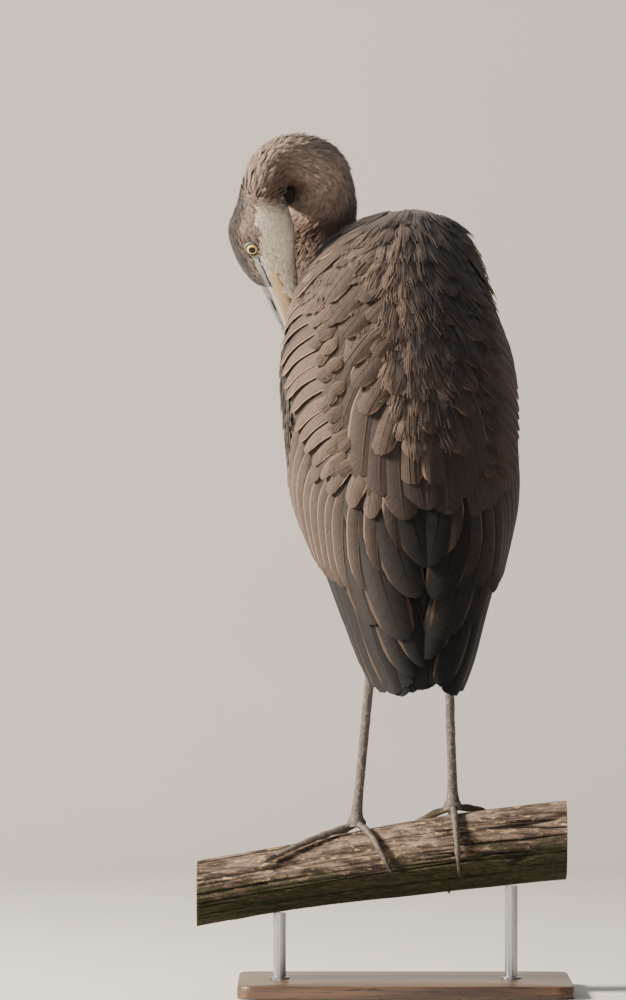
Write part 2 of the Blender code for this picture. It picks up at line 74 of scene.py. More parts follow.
class Socket:
    """A node's output, for shader sums written as plain sums."""

    def __init__(self, tree, socket):
        self.tree = tree
        self.socket = socket

    def node(self, kind, settings=None, output=0, **inputs):
        """Another node in the same tree; inputs are given by name or as n0, n1 and so on."""
        made = self.tree.nodes.new(kind)
        for key, value in (settings or {}).items():
            setattr(made, key, value)
        for key, value in inputs.items():
            if key[0] == "n" and key[1:].isdigit():
                target = made.inputs[int(key[1:])]
            else:
                target = made.inputs[key.replace("_", " ")]
            if isinstance(value, Socket):
                self.tree.links.new(value.socket, target)
            else:
                target.default_value = value
        return Socket(self.tree, made.outputs[output])

    def maths(self, operation, *values):
        inputs = {"n" + str(k): value for k, value in enumerate(values)}
        return self.node("ShaderNodeMath", {"operation": operation}, **inputs)

    def __add__(self, other):
        return self.maths("ADD", self, other)

    def __mul__(self, other):
        return self.maths("MULTIPLY", self, other)

    def __sub__(self, other):
        return self.maths("SUBTRACT", self, other)

    def __rsub__(self, other):
        return self.maths("SUBTRACT", other, self)

    def __truediv__(self, other):
        return self.maths("DIVIDE", self, other)

    def __pow__(self, other):
        return self.maths("POWER", self, other)

    def unary(self, operation):
        return self.maths(operation, self)

    def mix_values(self, first, second):
        """The number between first and second, with this as the share of second."""
        return self.node("ShaderNodeMix", {"data_type": "FLOAT"}, n0=self, n2=first, n3=second)

    def step(self, low, high, start=0.0, end=1.0):
        """A smooth climb from start to end while this goes from low to high."""
        return self.node(
            "ShaderNodeMapRange", {"interpolation_type": "SMOOTHSTEP"}, n0=self, n1=low, n2=high,
            n3=start, n4=end)

    def mix(self, first, second):
        """The colour between two sockets or screen colours, with this as the share of second."""
        first, second = (
            side if isinstance(side, Socket) else paint(*side) for side in (first, second))
        return self.node(
            "ShaderNodeMix", {"data_type": "RGBA"}, output=2, n0=self, n6=first, n7=second)

    def under(self, *layers):
        """This colour below layers of (share, colour), the last one on top."""
        tone = self
        for share, colour in layers:
            tone = share.mix(tone, colour)
        return tone

    def shaded(self, share, *factors):
        """This colour, multiplied by red, green and blue factors where share is 1."""
        darker = self.node(
            "ShaderNodeMix", {"data_type": "RGBA", "blend_type": "MULTIPLY"}, output=2, n0=1.0,
            n6=self, n7=(*factors, 1))
        return share.mix(self, darker)

    def part(self, index):
        return self.node("ShaderNodeSeparateXYZ", output=index, n0=self)

    def scaled(self, x, y, z):
        return self.node("ShaderNodeVectorMath", {"operation": "MULTIPLY"}, n0=self, n1=(x, y, z))

    def noise(self, scale, detail=2.0, rough=0.5):
        """Smooth noise; scale is one number, or one for each axis."""
        if isinstance(scale, tuple):
            return self.scaled(*scale).noise(1.0, detail, rough)
        return self.node(
            "ShaderNodeTexNoise", Vector=self, Scale=scale, Detail=detail, Roughness=rough)

    def flat_noise(self, other, scale, detail, rough=0.5):
        """Smooth noise on a plane: this is the one way across it, other the second."""
        spot = self.node("ShaderNodeCombineXYZ", n0=self, n1=other)
        return self.node(
            "ShaderNodeTexNoise", {"noise_dimensions": "2D"}, Vector=spot, Scale=scale,
            Detail=detail, Roughness=rough)

    def cells(self, scale, feature="F1", output=0):
        return self.node(
            "ShaderNodeTexVoronoi", {"feature": feature}, output=output, Vector=self, Scale=scale)


class Surface:
    """A Principled material, with a start socket that reads the object's own coordinates."""

    def __init__(self, name, **constants):
        self.material = bpy.data.materials.new(name)
        self.material.use_nodes = True
        self.tree = self.material.node_tree
        self.shader = self.tree.nodes["Principled BSDF"]
        for key, value in constants.items():
            self.shader.inputs[key.replace("_", " ")].default_value = value
        coordinates = self.tree.nodes.new("ShaderNodeTexCoord")
        self.place = Socket(self.tree, coordinates.outputs["Object"])

    def attribute(self, name, output=1):
        made = self.tree.nodes.new("ShaderNodeAttribute")
        made.attribute_name = name
        return Socket(self.tree, made.outputs[output])

    def uv(self, name):
        made = self.tree.nodes.new("ShaderNodeUVMap")
        made.uv_map = name
        return Socket(self.tree, made.outputs[0])

    def feed(self, **links):
        for key, value in links.items():
            self.tree.links.new(value.socket, self.shader.inputs[key.replace("_", " ")])

    def bump(self, height, strength, distance):
        bump = height.node("ShaderNodeBump", Height=height, Strength=strength, Distance=distance)
        self.feed(Normal=bump)


def mesh_object(name, points, faces, surface, smooth=True, uv=None, values=None):
    """One object from arrays of points and faces; uv is {map: corner values by vertex}."""
    mesh = bpy.data.meshes.new(name)
    points = np.ascontiguousarray(points, np.float32).reshape(-1, 3)
    faces = np.ascontiguousarray(faces, np.int32)
    mesh.vertices.add(len(points))
    mesh.vertices.foreach_set("co", points.ravel())
    mesh.loops.add(faces.size)
    mesh.loops.foreach_set("vertex_index", faces.ravel())
    mesh.polygons.add(len(faces))
    mesh.polygons.foreach_set(
        "loop_start", np.arange(0, faces.size, faces.shape[1], dtype=np.int32))
    mesh.update(calc_edges=True)
    for key, table in (uv or {}).items():
        layer = mesh.uv_layers.new(name=key)
        layer.uv.foreach_set("vector", np.asarray(table, np.float32)[faces.ravel()].ravel())
    for key, table in (values or {}).items():
        layer = mesh.attributes.new(key, "FLOAT_COLOR", "POINT")
        layer.data.foreach_set("color", np.asarray(table, np.float32).ravel())
    mesh.polygons.foreach_set("use_smooth", np.full(len(faces), smooth))
    mesh.materials.append(surface.material)
    made = bpy.data.objects.new(name, mesh)
    bpy.context.scene.collection.objects.link(made)
    return made


def grid_faces(rows, columns, closed=False):
    """Quads of a grid whose points run row by row; closed joins the last column to the first."""
    row = np.arange(rows - 1)[:, None] * columns
    column = np.arange(columns if closed else columns - 1)[None, :]
    after = (column + 1) % columns
    quads = np.stack([row + column, row + after, row + columns + after, row + columns + column], -1)
    return quads.reshape(-1, 4)


FLOOR_BACK, WALL_BEND = 2.6, 1.6
wall_turn = np.linspace(0, math.pi / 2, 24)
wall_path = np.concatenate(
    [[[-9.5, 0.0], [FLOOR_BACK, 0.0]], np.stack([FLOOR_BACK + WALL_BEND * np.sin(wall_turn[1:]),
    WALL_BEND - WALL_BEND * np.cos(wall_turn[1:])], -1), [[FLOOR_BACK + WALL_BEND, 6.0]],])
wall_points = np.stack(
    [np.repeat([[-7.0, 7.0]], len(wall_path), 0), np.repeat(wall_path[:, :1], 2, 1),
    np.repeat(wall_path[:, 1:] - 0.0005, 2, 1),], -1)
studio = Surface("studio", Roughness=0.9, Specular_IOR_Level=0.2)
studio_tone = studio.place.noise(3.0, 3.0)
studio_front = 1.0 - studio.place.node("ShaderNodeNewGeometry", output="Backfacing")
studio.feed(Base_Color=studio_tone.mix((205, 202, 198), (211, 208, 204)), Alpha=studio_front)
studio_floor = mesh_object("studio_floor", wall_points, grid_faces(len(wall_path), 2), studio)

for lamp_name, lamp_place, lamp_size, lamp_power, lamp_colour in (
    ("lamp_left", (-3.4, -0.80, 2.35), 0.8, 680, (1.0, 0.88, 0.75)),
    ("lamp_front", (-0.9, -4.6, 1.0), 2.6, 36, (0.90, 0.95, 1.0)),
    ("lamp_top", (0.0, 0.6, 3.6), 2.4, 30, (0.94, 0.97, 1.0)),
):
    lamp_data = bpy.data.lights.new(lamp_name, "AREA")
    lamp_data.size = lamp_size
    lamp_data.energy = lamp_power
    lamp_data.color = lamp_colour
    lamp = bpy.data.objects.new(lamp_name, lamp_data)
    lamp.location = lamp_place
    lamp_aim = Vector((-0.05, 0, 0.55)) - lamp.location
    lamp.rotation_euler = lamp_aim.to_track_quat("-Z", "Y").to_euler()
    bpy.context.scene.collection.objects.link(lamp)
world = bpy.data.worlds.new("world")
world.use_nodes = True
backdrop = world.node_tree.nodes["Background"]
backdrop.inputs["Color"].default_value = (0.80, 0.84, 0.90, 1.0)
backdrop.inputs["Strength"].default_value = 0.16
bpy.context.scene.world = world

# ------------------------------------------------------------------ board and rods
# The plain display stand: a stained oak board with rounded corners, lying flat on the floor, and
# two brushed steel rods let into the underside of the branch.

BASE_SIZE = (0.36, 0.26, 0.014)
BASE_CORNER = 0.020
ROD_RADIUS = 0.007
ROD_PLACES = (-0.135, 0.115)
ROD_SIDES = 48


def board_outline(inset):
    """A rectangle with quarter-round corners, drawn in from its edge by inset."""
    turn = np.linspace(0, math.pi / 2, 9)
    points = []
    for cx, cy, start in ((1, 1, 0.0), (-1, 1, 0.5), (-1, -1, 1.0), (1, -1, 1.5)):
        angle = turn + start * math.pi
        points.append(
            np.stack([cx * (BASE_SIZE[0] / 2 - BASE_CORNER) + (BASE_CORNER - inset) * np.cos(angle),
            cy * (BASE_SIZE[1] / 2 - BASE_CORNER) + (BASE_CORNER - inset) * np.sin(angle),], -1))
    return np.concatenate(points)


def stacked(outline_rows):
    """Points and faces of a closed skin over rows of points, with a fan to each end's middle."""
    rows = np.asarray(outline_rows, float)
    count, around = rows.shape[:2]
    points = np.concatenate([rows.reshape(-1, 3), [rows[0].mean(0), rows[-1].mean(0)]])
    k = np.arange(around)
    after = (k + 1) % around
    top = (count - 1) * around
    first, last = np.full(around, count * around), np.full(around, count * around + 1)
    faces = np.concatenate(
        [grid_faces(count, around, closed=True), np.stack([after, k, first, first], -1),
        np.stack([top + k, top + after, last, last], -1)])
    return points, faces


def tidy_skin(thing, angle=None):
    """Merge doubled points, drop flat faces and turn every face outwards."""
    work = bmesh.new()
    work.from_mesh(thing.data)
    bmesh.ops.remove_doubles(work, verts=work.verts, dist=1e-6)
    bmesh.ops.dissolve_degenerate(work, edges=work.edges, dist=1e-7)
    bmesh.ops.recalc_face_normals(work, faces=work.faces)
    work.to_mesh(thing.data)
    work.free()
    if angle is not None:
        thing.data.set_sharp_from_angle(angle=math.radians(angle))
    return thing


def mounted(piece, slot, *nodes):
    """Put a piece on the one mount there is, in place of the nodes it dresses."""
    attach(piece, "root")
    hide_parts(*nodes)
    return piece


board_wood = Surface("board_wood", Roughness=0.42, Coat_Weight=0.25, Coat_Roughness=0.2)
board_rings = board_wood.place.scaled(2.2, 34.0, 34.0).noise(1.6, 5.0, 0.62)
board_pores = board_wood.place.noise((26.0, 620.0, 620.0), 2.0, 0.6)
board_tone = board_rings.step(0.34, 0.66).mix((58, 42, 31), (98, 73, 52))
board_wood.feed(Base_Color=board_pores.step(0.55, 0.68).mix(board_tone, (36, 26, 20)))
board_wood.bump(board_pores + board_rings, 0.25, 0.0006)
board_rows = []
for board_inset, board_height in ((0.0012, 0.0), (0.0, 0.0012), (0.0, 0.0112), (0.0008, 0.0132),
                                  (0.0028, 0.0140)):
    outline = board_outline(board_inset)
    board_rows.append(np.concatenate([outline, np.full((len(outline), 1), board_height)], 1))
board_points, board_faces = stacked(board_rows)
stand_board = mesh_object("stand_board", board_points, board_faces, board_wood)
tidy_skin(stand_board, 40)
mounted(stand_board, "stand_board", "stand_base")

rod_steel = Surface("rod_steel", Metallic=1.0, Roughness=0.3)
rod_grain = rod_steel.place.noise((900.0, 900.0, 18.0), 2.0)
rod_steel.feed(
    Base_Color=rod_grain.mix((176, 178, 180), (202, 203, 204)), Roughness=rod_grain.step(0.2, 0.8,
    0.22, 0.38))
for rod_name, rod_x in zip(("stand_rod_left", "stand_rod_right"), ROD_PLACES):
    rod_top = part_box(rod_name)[1][2]
    rod_turn = np.linspace(0, 2 * math.pi, ROD_SIDES, endpoint=False)
    rod_rows = []
    for rod_radius, rod_z in ((ROD_RADIUS * 1.55, 0.0141), (ROD_RADIUS * 1.55, 0.0158),
                              (ROD_RADIUS * 1.40, 0.0164), (ROD_RADIUS, 0.0165),
                              (ROD_RADIUS, rod_top - 0.0004)):
        rod_rows.append(
            np.stack([rod_x + rod_radius * np.cos(rod_turn), rod_radius * np.sin(rod_turn),
            np.full(ROD_SIDES, rod_z)], -1))
    rod_points, rod_faces = stacked(rod_rows)
    rod = mesh_object(rod_name + "_steel", rod_points, rod_faces, rod_steel)
    tidy_skin(rod, 35)
    mounted(rod, "stand_steel", rod_name)

# ------------------------------------------------------------------ branch
# A dry weathered branch without its bark, cut square at both ends: long grooves and a few open
# cracks run along it, dark moss grows on its lower half, and the cut ends show rings. Painted
# shade darkens its lower side and its cracks and grooves.

PERCH_ENDS = (-0.225, 0.175)
PERCH_RADIUS = 0.0407
PERCH_HEIGHT, PERCH_SLOPE, PERCH_BOW = 0.1426, 0.1395, 0.110
BARK_ROWS, BARK_SIDES, BARK_CAPS = 300, 280, (0.985, 0.90, 0.66, 0.38, 0.12)


def rumple(points, seed):
    """Smooth noise from -1 to 1: random values on a lattice, blended between its corners."""
    lattice = np.random.default_rng(seed).uniform(-1, 1, (32, 32, 32))
    spot = np.asarray(points, float) + 1000.0
    cell = np.floor(spot).astype(int)
    share = spot - cell
    share = share * share * (3 - 2 * share)
    x, y, z = share[..., 0], share[..., 1], share[..., 2]
    total = 0.0
    for dx, dy, dz in np.ndindex(2, 2, 2):
        weight = np.abs(1 - dx - x) * np.abs(1 - dy - y) * np.abs(1 - dz - z)
        i, j, k = ((cell[..., axis] + d) % 32 for axis, d in enumerate((dx, dy, dz)))
        total = total + weight * lattice[i, j, k]
    return total


def bark_point(x, angle, lift):
    """A point over the branch: slow swellings and flats on a taper, along a slightly bowed line."""
    waves = 1 + 0.020 * np.sin(17 * x + 0.6) + 0.018 * np.sin(2 * angle + 9 * x)
    reach = (PERCH_RADIUS + 0.016 * x) * waves + lift
    middle = PERCH_HEIGHT + PERCH_SLOPE * x - PERCH_BOW * x * x
    return np.stack([x + 0 * reach, reach * np.sin(angle), middle + reach * np.cos(angle)], -1)


def climb(value, low, high):
    """A smooth climb from 0 to 1 while value goes from low to high."""
    share = np.clip((np.asarray(value, float) - low) / (high - low), 0, 1)
    return share * share * (3 - 2 * share)


wood_x = np.linspace(PERCH_ENDS[0] + 0.0008, PERCH_ENDS[1] - 0.0008, BARK_ROWS)[:, None]
wood_angle = np.linspace(0, 2 * math.pi, BARK_SIDES, endpoint=False)[None, :]
wood_spot = np.stack(
    [wood_x * 9 + 0 * wood_angle, np.cos(wood_angle) * 1.9 + 0 * wood_x,
    np.sin(wood_angle) * 1.9 + 0 * wood_x], -1)
wood_wander = rumple(wood_spot * [0.6, 1, 1], 3) * 0.6
wood_grain = rumple(wood_spot * [0.8, 5, 5] + wood_wander[..., None], 4)
wood_ribs = rumple(wood_spot * [1.1, 11, 11] + wood_wander[..., None], 7)
wood_fine = rumple(wood_spot * [2.2, 23, 23] + wood_wander[..., None], 5)
wood_lumps = rumple(wood_spot * [1.6, 1.7, 1.7], 12)
wood_crack = np.clip(
    1 - np.abs(rumple(wood_spot * [0.42, 3.6, 3.6] + wood_wander[..., None] * 0.4, 6)) / 0.085, 0,
    1)
wood_crack = wood_crack * np.clip(rumple(wood_spot * [0.8, 1.2, 1.2], 8) * 3 + 0.9, 0, 1)
wood_knot = np.hypot(wood_x + 0.045, np.sin(wood_angle / 2 - 0.9) * 0.08) / 0.012
wood_knot = np.exp(-wood_knot ** 2)
wood_lift = (
    -0.0017 + 0.0008 * wood_grain + 0.0007 * wood_ribs + 0.0004 * wood_fine + 0.0008 * wood_lumps
    - 0.0034 * wood_crack + 0.0022 * wood_knot)
wood_lift = np.where(np.cos(wood_angle) > 0.93, np.minimum(wood_lift, -0.0004), wood_lift)
wood_rows = bark_point(wood_x, wood_angle, wood_lift)
wood_caps = []
for wood_end, wood_inward in ((0, 1), (-1, -1)):
    cap_rows = []
    cap_middle = wood_rows[wood_end].mean(0)
    for cap_share in BARK_CAPS:
        cap = cap_middle + (wood_rows[wood_end] - cap_middle) * cap_share
        cap_rows.append(cap - [wood_inward * 0.0006 * min(1, (1 - cap_share) * 40), 0, 0])
    wood_caps.append(cap_rows)
wood_all = np.concatenate([wood_caps[0][::-1], wood_rows, wood_caps[1]])
wood_points, wood_faces = stacked(wood_all)
dry_wood = Surface("dry_wood", Roughness=0.85, Specular_IOR_Level=0.25)
wood_place = dry_wood.place
wood_lines = wood_place.noise((14.0, 260.0, 260.0), 4.0, 0.62)
wood_patches = wood_place.noise((22.0, 60.0, 60.0), 4.0, 0.6)
wood_specks = wood_place.noise((90.0, 520.0, 520.0), 3.0, 0.7)
wood_flakes = wood_place.noise((70.0, 210.0, 210.0), 5.0, 0.75)
wood_moss = wood_place.noise((34.0, 90.0, 90.0), 5.0, 0.75)
wood_height = wood_place.part(2) - wood_place.part(0) * PERCH_SLOPE - PERCH_HEIGHT
wood_tone = wood_lines.step(0.34, 0.64).mix((58, 47, 41), (124, 106, 94))
wood_tone = wood_tone.under(
    (wood_patches.step(0.50, 0.66) * 0.8, (150, 132, 120)),
    (wood_patches.step(0.46, 0.32) * 0.8, (50, 39, 33)),
    (wood_flakes.step(0.55, 0.61) * 0.85, (172, 154, 118)),
    (wood_flakes.step(0.44, 0.36) * 0.8, (38, 29, 25)),
    (wood_specks.step(0.62, 0.72) * 0.7, (34, 27, 23)))
# Painted shade: the wood is darker on the branch's lower side.
wood_tone = wood_tone.shaded(wood_height.step(0.012, -0.014), 0.52, 0.49, 0.46)
# Painted shade in the open cracks and low grooves, from the values stored on the mesh.
bark_crack_shade = dry_wood.attribute("crack_shade", 0).part(0).step(0.15, 0.8) * 0.9
wood_tone = bark_crack_shade.mix(wood_tone, (20, 16, 14))
wood_moss_share = (wood_moss * 3.4 - wood_height * 30.0).step(1.68, 2.0)
wood_moss_tone = wood_specks.step(0.35, 0.65).mix((34, 37, 24), (66, 68, 44))
wood_tone = (wood_moss_share * 0.86).mix(wood_tone, wood_moss_tone)
wood_off_middle = wood_place.part(0) - (PERCH_ENDS[0] + PERCH_ENDS[1]) / 2
wood_end_share = wood_off_middle.unary("ABSOLUTE").step(0.1990, 0.1994)
wood_radius_line = (wood_place.part(1) * wood_place.part(1) + wood_height * wood_height) ** 0.5
wood_wobble = wood_place.noise(45.0, 3.0) * 0.004
wood_rings = ((wood_radius_line + wood_wobble) * 2400.0).unary("SINE")
wood_end_tone = wood_rings.step(-0.8, 0.8).mix((150, 122, 88), (186, 158, 120))
wood_end_tone = wood_specks.step(0.5, 0.75).mix(wood_end_tone, (104, 80, 56))
dry_wood.feed(Base_Color=wood_end_share.mix(wood_tone, wood_end_tone))
dry_wood.bump(
    wood_lines * 0.5 + wood_flakes.step(0.35, 0.65) * 0.9 + wood_patches * 0.2, 0.9, 0.0016)
wood_shade_marks = np.zeros((len(wood_points), 4), np.float32)
wood_first = len(BARK_CAPS) * BARK_SIDES
# Painted shade: darkest in the open cracks and where the grain's grooves lie low.
wood_shade_depth = np.maximum(wood_crack * 1.2, climb(-wood_grain - wood_ribs, 0.3, 1.1))
wood_shade_marks[wood_first:wood_first + wood_shade_depth.size, :3] = wood_shade_depth.reshape(-1, 1)
wood_shade_marks[:, 3] = 1
branch = mesh_object("branch", wood_points, wood_faces, dry_wood, values={"crack_shade": wood_shade_marks})
tidy_skin(branch, 60)
mounted(branch, "bark", "perch")

# ------------------------------------------------------------------ legs, feet and claws
# Bare scaled skin over bone: a slim upper shank, the ankle's knob, the long tarsus, and four toes
# on each foot that grip the branch, each ending in a curved horn claw.

LEGS = {
    "left": ((-0.0424, 0.0140, 0.452), (-0.040, 0.010, 0.432), (-0.0365, -0.021, 0.354), -0.052),
    "right": ((0.0477, 0.0140, 0.456), (0.048, 0.010, 0.436), (0.047, -0.021, 0.362), 0.052),
}
TOES = {  # hind toe first: way round from the right towards the front in degrees, and length
    "left": ((-63, 0.058), (70, 0.064), (126, 0.088), (202, 0.082)),
    "right": ((-86, 0.058), (144, 0.060), (92, 0.088), (36, 0.080)),
}
TOE_START = 0.0128  # metres from the palm's middle


def through(rows, x):
    """Values at x of a cubic curve through rows whose first column climbs, with slopes taken from
    each row's neighbours."""
    rows = np.asarray(rows, float)
    x = np.clip(np.asarray(x, float), rows[0, 0], rows[-1, 0])
    i = np.clip(np.searchsorted(rows[:, 0], x, side="right") - 1, 0, len(rows) - 2)
    start, end = rows[i], rows[i + 1]
    before, after = rows[np.maximum(i - 1, 0)], rows[np.minimum(i + 2, len(rows) - 1)]
    span = (end - start)[..., :1]
    t = (x[..., None] - start[..., :1]) / span
    slope_in = (end - before) / (end - before)[..., :1] * span
    slope_out = (after - start) / (after - start)[..., :1] * span
    rise = end - start
    values = (
        start + t * slope_in + t * t * (3 * rise - 2 * slope_in - slope_out) + t ** 3
        * (slope_in + slope_out - 2 * rise))
    return values[..., 1:]


def unit(vectors):
    vectors = np.asarray(vectors, float)
    return vectors / np.maximum(np.linalg.norm(vectors, axis=-1, keepdims=True), 1e-12)


def measured(points):
    """Lengths along a line of points, from its first one."""
    points = np.asarray(points, float)
    return np.concatenate([[0.0], np.cumsum(np.linalg.norm(np.diff(points, axis=0), axis=1))])


def pipe(places, radii, count, around, up, swell=None):
    """Points of a tube: ovals square to a smooth path, of half widths (sideways, upwards).

    Returns the points by row with the first column repeated as the last, and the rows' lengths.
    swell(length, angle) adds metres to the radius.
    """
    rows = np.concatenate(
        [measured(places)[:, None], places, np.reshape(radii, (len(places), -1))], 1)
    if rows.shape[1] == 5:
        rows = np.concatenate([rows, rows[:, 4:]], 1)
    length = np.linspace(0, rows[-1, 0], count)
    path = through(rows, length)
    along = unit(np.gradient(path[:, :3], axis=0))
    side = unit(np.cross(along, np.asarray(up, float)))
    rise = np.cross(side, along)
    angle = np.linspace(0, 2 * math.pi, around + 1)
    extra = 0 if swell is None else swell(length[:, None], angle[None, :])
    wide = (path[:, 3:4] + extra) * np.cos(angle)
    high = (path[:, 4:5] + extra) * np.sin(angle)
    points = path[:, None, :3] + side[:, None] * wide[..., None] + rise[:, None] * high[..., None]
    return points, length


PIPE_MAP = 0.03  # the length of pipe that fills its map once


def pipe_object(name, points, length, surface):
    """An object from a pipe's rows, with a map of the way round and the length, and closed ends."""
    count, columns = points.shape[:2]
    turn = np.linspace(0, 1, columns)
    table = [np.broadcast_to(turn, (count, columns)),
             np.broadcast_to(length[:, None] / PIPE_MAP, (count, columns))]
    table = np.stack(table, -1).reshape(-1, 2)
    ends = [points[0, :-1].mean(0), points[-1, :-1].mean(0)]
    flat = np.concatenate([points.reshape(-1, 3), ends])
    table = np.concatenate([table, [[0.5, length[0] / PIPE_MAP], [0.5, length[-1] / PIPE_MAP]]])
    k = np.arange(columns - 1)
    top = (count - 1) * columns
    first, last = np.full(columns - 1, count * columns), np.full(columns - 1, count * columns + 1)
    faces = np.concatenate(
        [grid_faces(count, columns), np.stack([k + 1, k, first, first], -1),
        np.stack([top + k, top + k + 1, last, last], -1)])
    made = mesh_object(name, flat, faces, surface, uv={"chart": table})
    return tidy_skin(made)


leg_skin = Surface("leg_skin", Specular_IOR_Level=0.45)
leg_cells = leg_skin.place.scaled(560.0, 560.0, 400.0)
leg_edge = leg_cells.cells(1.0, "DISTANCE_TO_EDGE")
leg_random = leg_cells.cells(1.0, output=1).part(0)
leg_patch = leg_skin.place.noise(260.0, 4.0, 0.65)
leg_tone = leg_random.mix((70, 66, 63), (106, 99, 94))
leg_tone = leg_tone.under(
    (leg_patch.step(0.52, 0.66) * 0.7, (158, 148, 139)),
    (leg_patch.step(0.48, 0.36) * 0.7, (62, 57, 54)),
    (leg_edge.step(0.10, 0.0) * 0.55, (52, 48, 45)))
leg_skin.feed(Base_Color=leg_tone, Roughness=leg_patch.step(0.2, 0.8, 0.48, 0.68))
leg_skin.bump(leg_edge.step(0.0, 0.22) + leg_patch * 0.5, 0.6, 0.0006)

toe_skin = Surface("toe_skin", Specular_IOR_Level=0.45)
toe_map = toe_skin.uv("chart")
toe_turn = toe_map.part(0)
toe_side = ((toe_turn - 0.25) * 6.2832).unary("COSINE")
toe_line = (toe_map.part(1) * 11.0).unary("FRACT")
toe_plate = toe_line.step(0.0, 0.16) - toe_line.step(0.88, 1.0)
toe_cell = toe_skin.place.cells(620.0, "DISTANCE_TO_EDGE")
toe_relief = toe_side.step(0.1, 0.5).mix_values(toe_cell.step(0.0, 0.2), toe_plate)
toe_patch = toe_skin.place.noise(300.0, 3.0, 0.6)
toe_tone = toe_patch.step(0.35, 0.65).mix((66, 60, 55), (104, 96, 87))
toe_tone = toe_tone.under(
    (toe_relief.step(0.6, 0.0) * 0.7, (38, 34, 31)),
    (toe_side.step(-0.35, -0.8), (112, 98, 74)))
toe_skin.feed(Base_Color=toe_tone, Roughness=toe_patch.step(0.2, 0.8, 0.50, 0.66))
toe_skin.bump(toe_relief, 0.7, 0.0007)

claw_horn = Surface("claw_horn", Roughness=0.35, Specular_IOR_Level=0.5)
claw_grain = claw_horn.place.noise(380.0, 3.0)
claw_horn.feed(Base_Color=claw_grain.step(0.35, 0.7).mix((38, 35, 33), (78, 71, 64)))
claw_horn.bump(claw_grain, 0.2, 0.0004)


def over_bark(x, across, lift):
    """A point over the branch, across metres round it from its top towards the bird's front."""
    return bark_point(np.asarray(x, float), np.asarray(across, float) / PERCH_RADIUS, lift)


for leg_name, (leg_top, leg_end, ankle, foot_x) in LEGS.items():
    palm = over_bark(foot_x, 0.0, 0.0008)
    ankle = np.array(ankle)
    shaft_foot = palm + [0, 0, 0.014]
    down = unit(ankle - np.array(leg_end))
    leg_places = [
        np.array(leg_top), np.array(leg_end), ankle - down * 0.032, ankle - down * 0.012,
        ankle - down * 0.003, ankle + [0, 0.001, -0.010]]
    leg_places += [ankle + (shaft_foot - ankle) * share for share in (0.17, 0.45, 0.75, 0.93)]
    leg_places += [shaft_foot, palm + [0, 0, 0.008], palm + [0, 0, 0.003]]
    leg_radii = [
        (0.0066, 0.0066), (0.0064, 0.0066), (0.0057, 0.0064), (0.0064, 0.0070), (0.0076, 0.0084),
        (0.0068, 0.0076), (0.0053, 0.0060), (0.0050, 0.0056), (0.0050, 0.0056), (0.0058, 0.0062),
        (0.0074, 0.0074), (0.0104, 0.0104), (0.0098, 0.0098)]

    def knobs(length, angle):
        """Low lumps round the ankle and along the tarsus."""
        lumps = rumple(
            np.stack(np.broadcast_arrays(length * 120, np.cos(angle) * 1.6,
            np.sin(angle) * 1.6 + foot_x * 40), -1), 11)
        return 0.00035 * lumps

    leg_points, leg_length = pipe(leg_places, leg_radii, 220, 40, (0, -1, 0), knobs)
    leg = pipe_object("leg_" + leg_name, leg_points, leg_length, leg_skin)
    mounted(leg, "leg_skin", "shank_" + leg_name, "tarsus_" + leg_name)

    for toe_number, (degrees, toe_length) in enumerate(TOES[leg_name], start=1):
        way = np.array([math.cos(math.radians(degrees)), math.sin(math.radians(degrees))])
        joints = 3 if toe_number == 1 else toe_number + 1
        reach = np.linspace(0.003, TOE_START + toe_length, 14)
        toe_share = np.clip((reach - TOE_START) / toe_length, 0, 1)
        toe_radius = 0.0045 + (0.0032 - 0.0045) * toe_share
        lift = toe_radius + 0.0007 + 0.0030 * np.clip((0.012 - reach) / 0.012, 0, 1)
        toe_path = over_bark(foot_x + way[0] * reach, way[1] * reach, lift)
        toe_middle = (foot_x + way[0] * 0.05, way[1] * 0.05)
        outward = over_bark(*toe_middle, 0.05) - over_bark(*toe_middle, 0.0)
        toe_radii = np.stack([toe_radius, toe_radius * 0.98], -1)
        toe_radii[-1] *= 0.75

        def pads(length, angle):
            """Swellings at the joints, fuller underneath, and stepped plates along the top."""
            share = length / (toe_length + 0.01)
            bulge = np.cos(share * 2 * math.pi * joints) * 0.00035
            plates = ((length / 0.0027) % 1.0 - 0.5) * -0.00028 * np.clip(np.sin(angle), 0, 1)
            return bulge - 0.0004 + plates

        toe_points, toe_lengths = pipe(toe_path, toe_radii, 150, 26, outward, pads)
        toe = pipe_object(
            "toe_skin_%s_%d" % (leg_name, toe_number), toe_points, toe_lengths, toe_skin)
        mounted(toe, "leg_skin", "toe_%s_%d" % (leg_name, toe_number))

        claw_reach = TOE_START + toe_length - 0.002 + np.array([0.0, 0.004, 0.009, 0.014, 0.0188])
        claw_radius = np.array([0.0027, 0.0026, 0.0020, 0.0012, 0.0004])
        claw_arch = np.array([0.0, 0.0012, 0.0028, 0.0026, 0.0006])
        claw_path = over_bark(
            foot_x + way[0] * claw_reach, way[1] * claw_reach, claw_radius + 0.0007 + claw_arch)
        claw_points, claw_lengths = pipe(
            claw_path, np.stack([claw_radius * 0.8, claw_radius], -1), 26, 16, outward)
        claw = pipe_object(
            "claw_horn_%s_%d" % (leg_name, toe_number), claw_points, claw_lengths, claw_horn)
        mounted(claw, "claw", "claw_%s_%d" % (leg_name, toe_number))
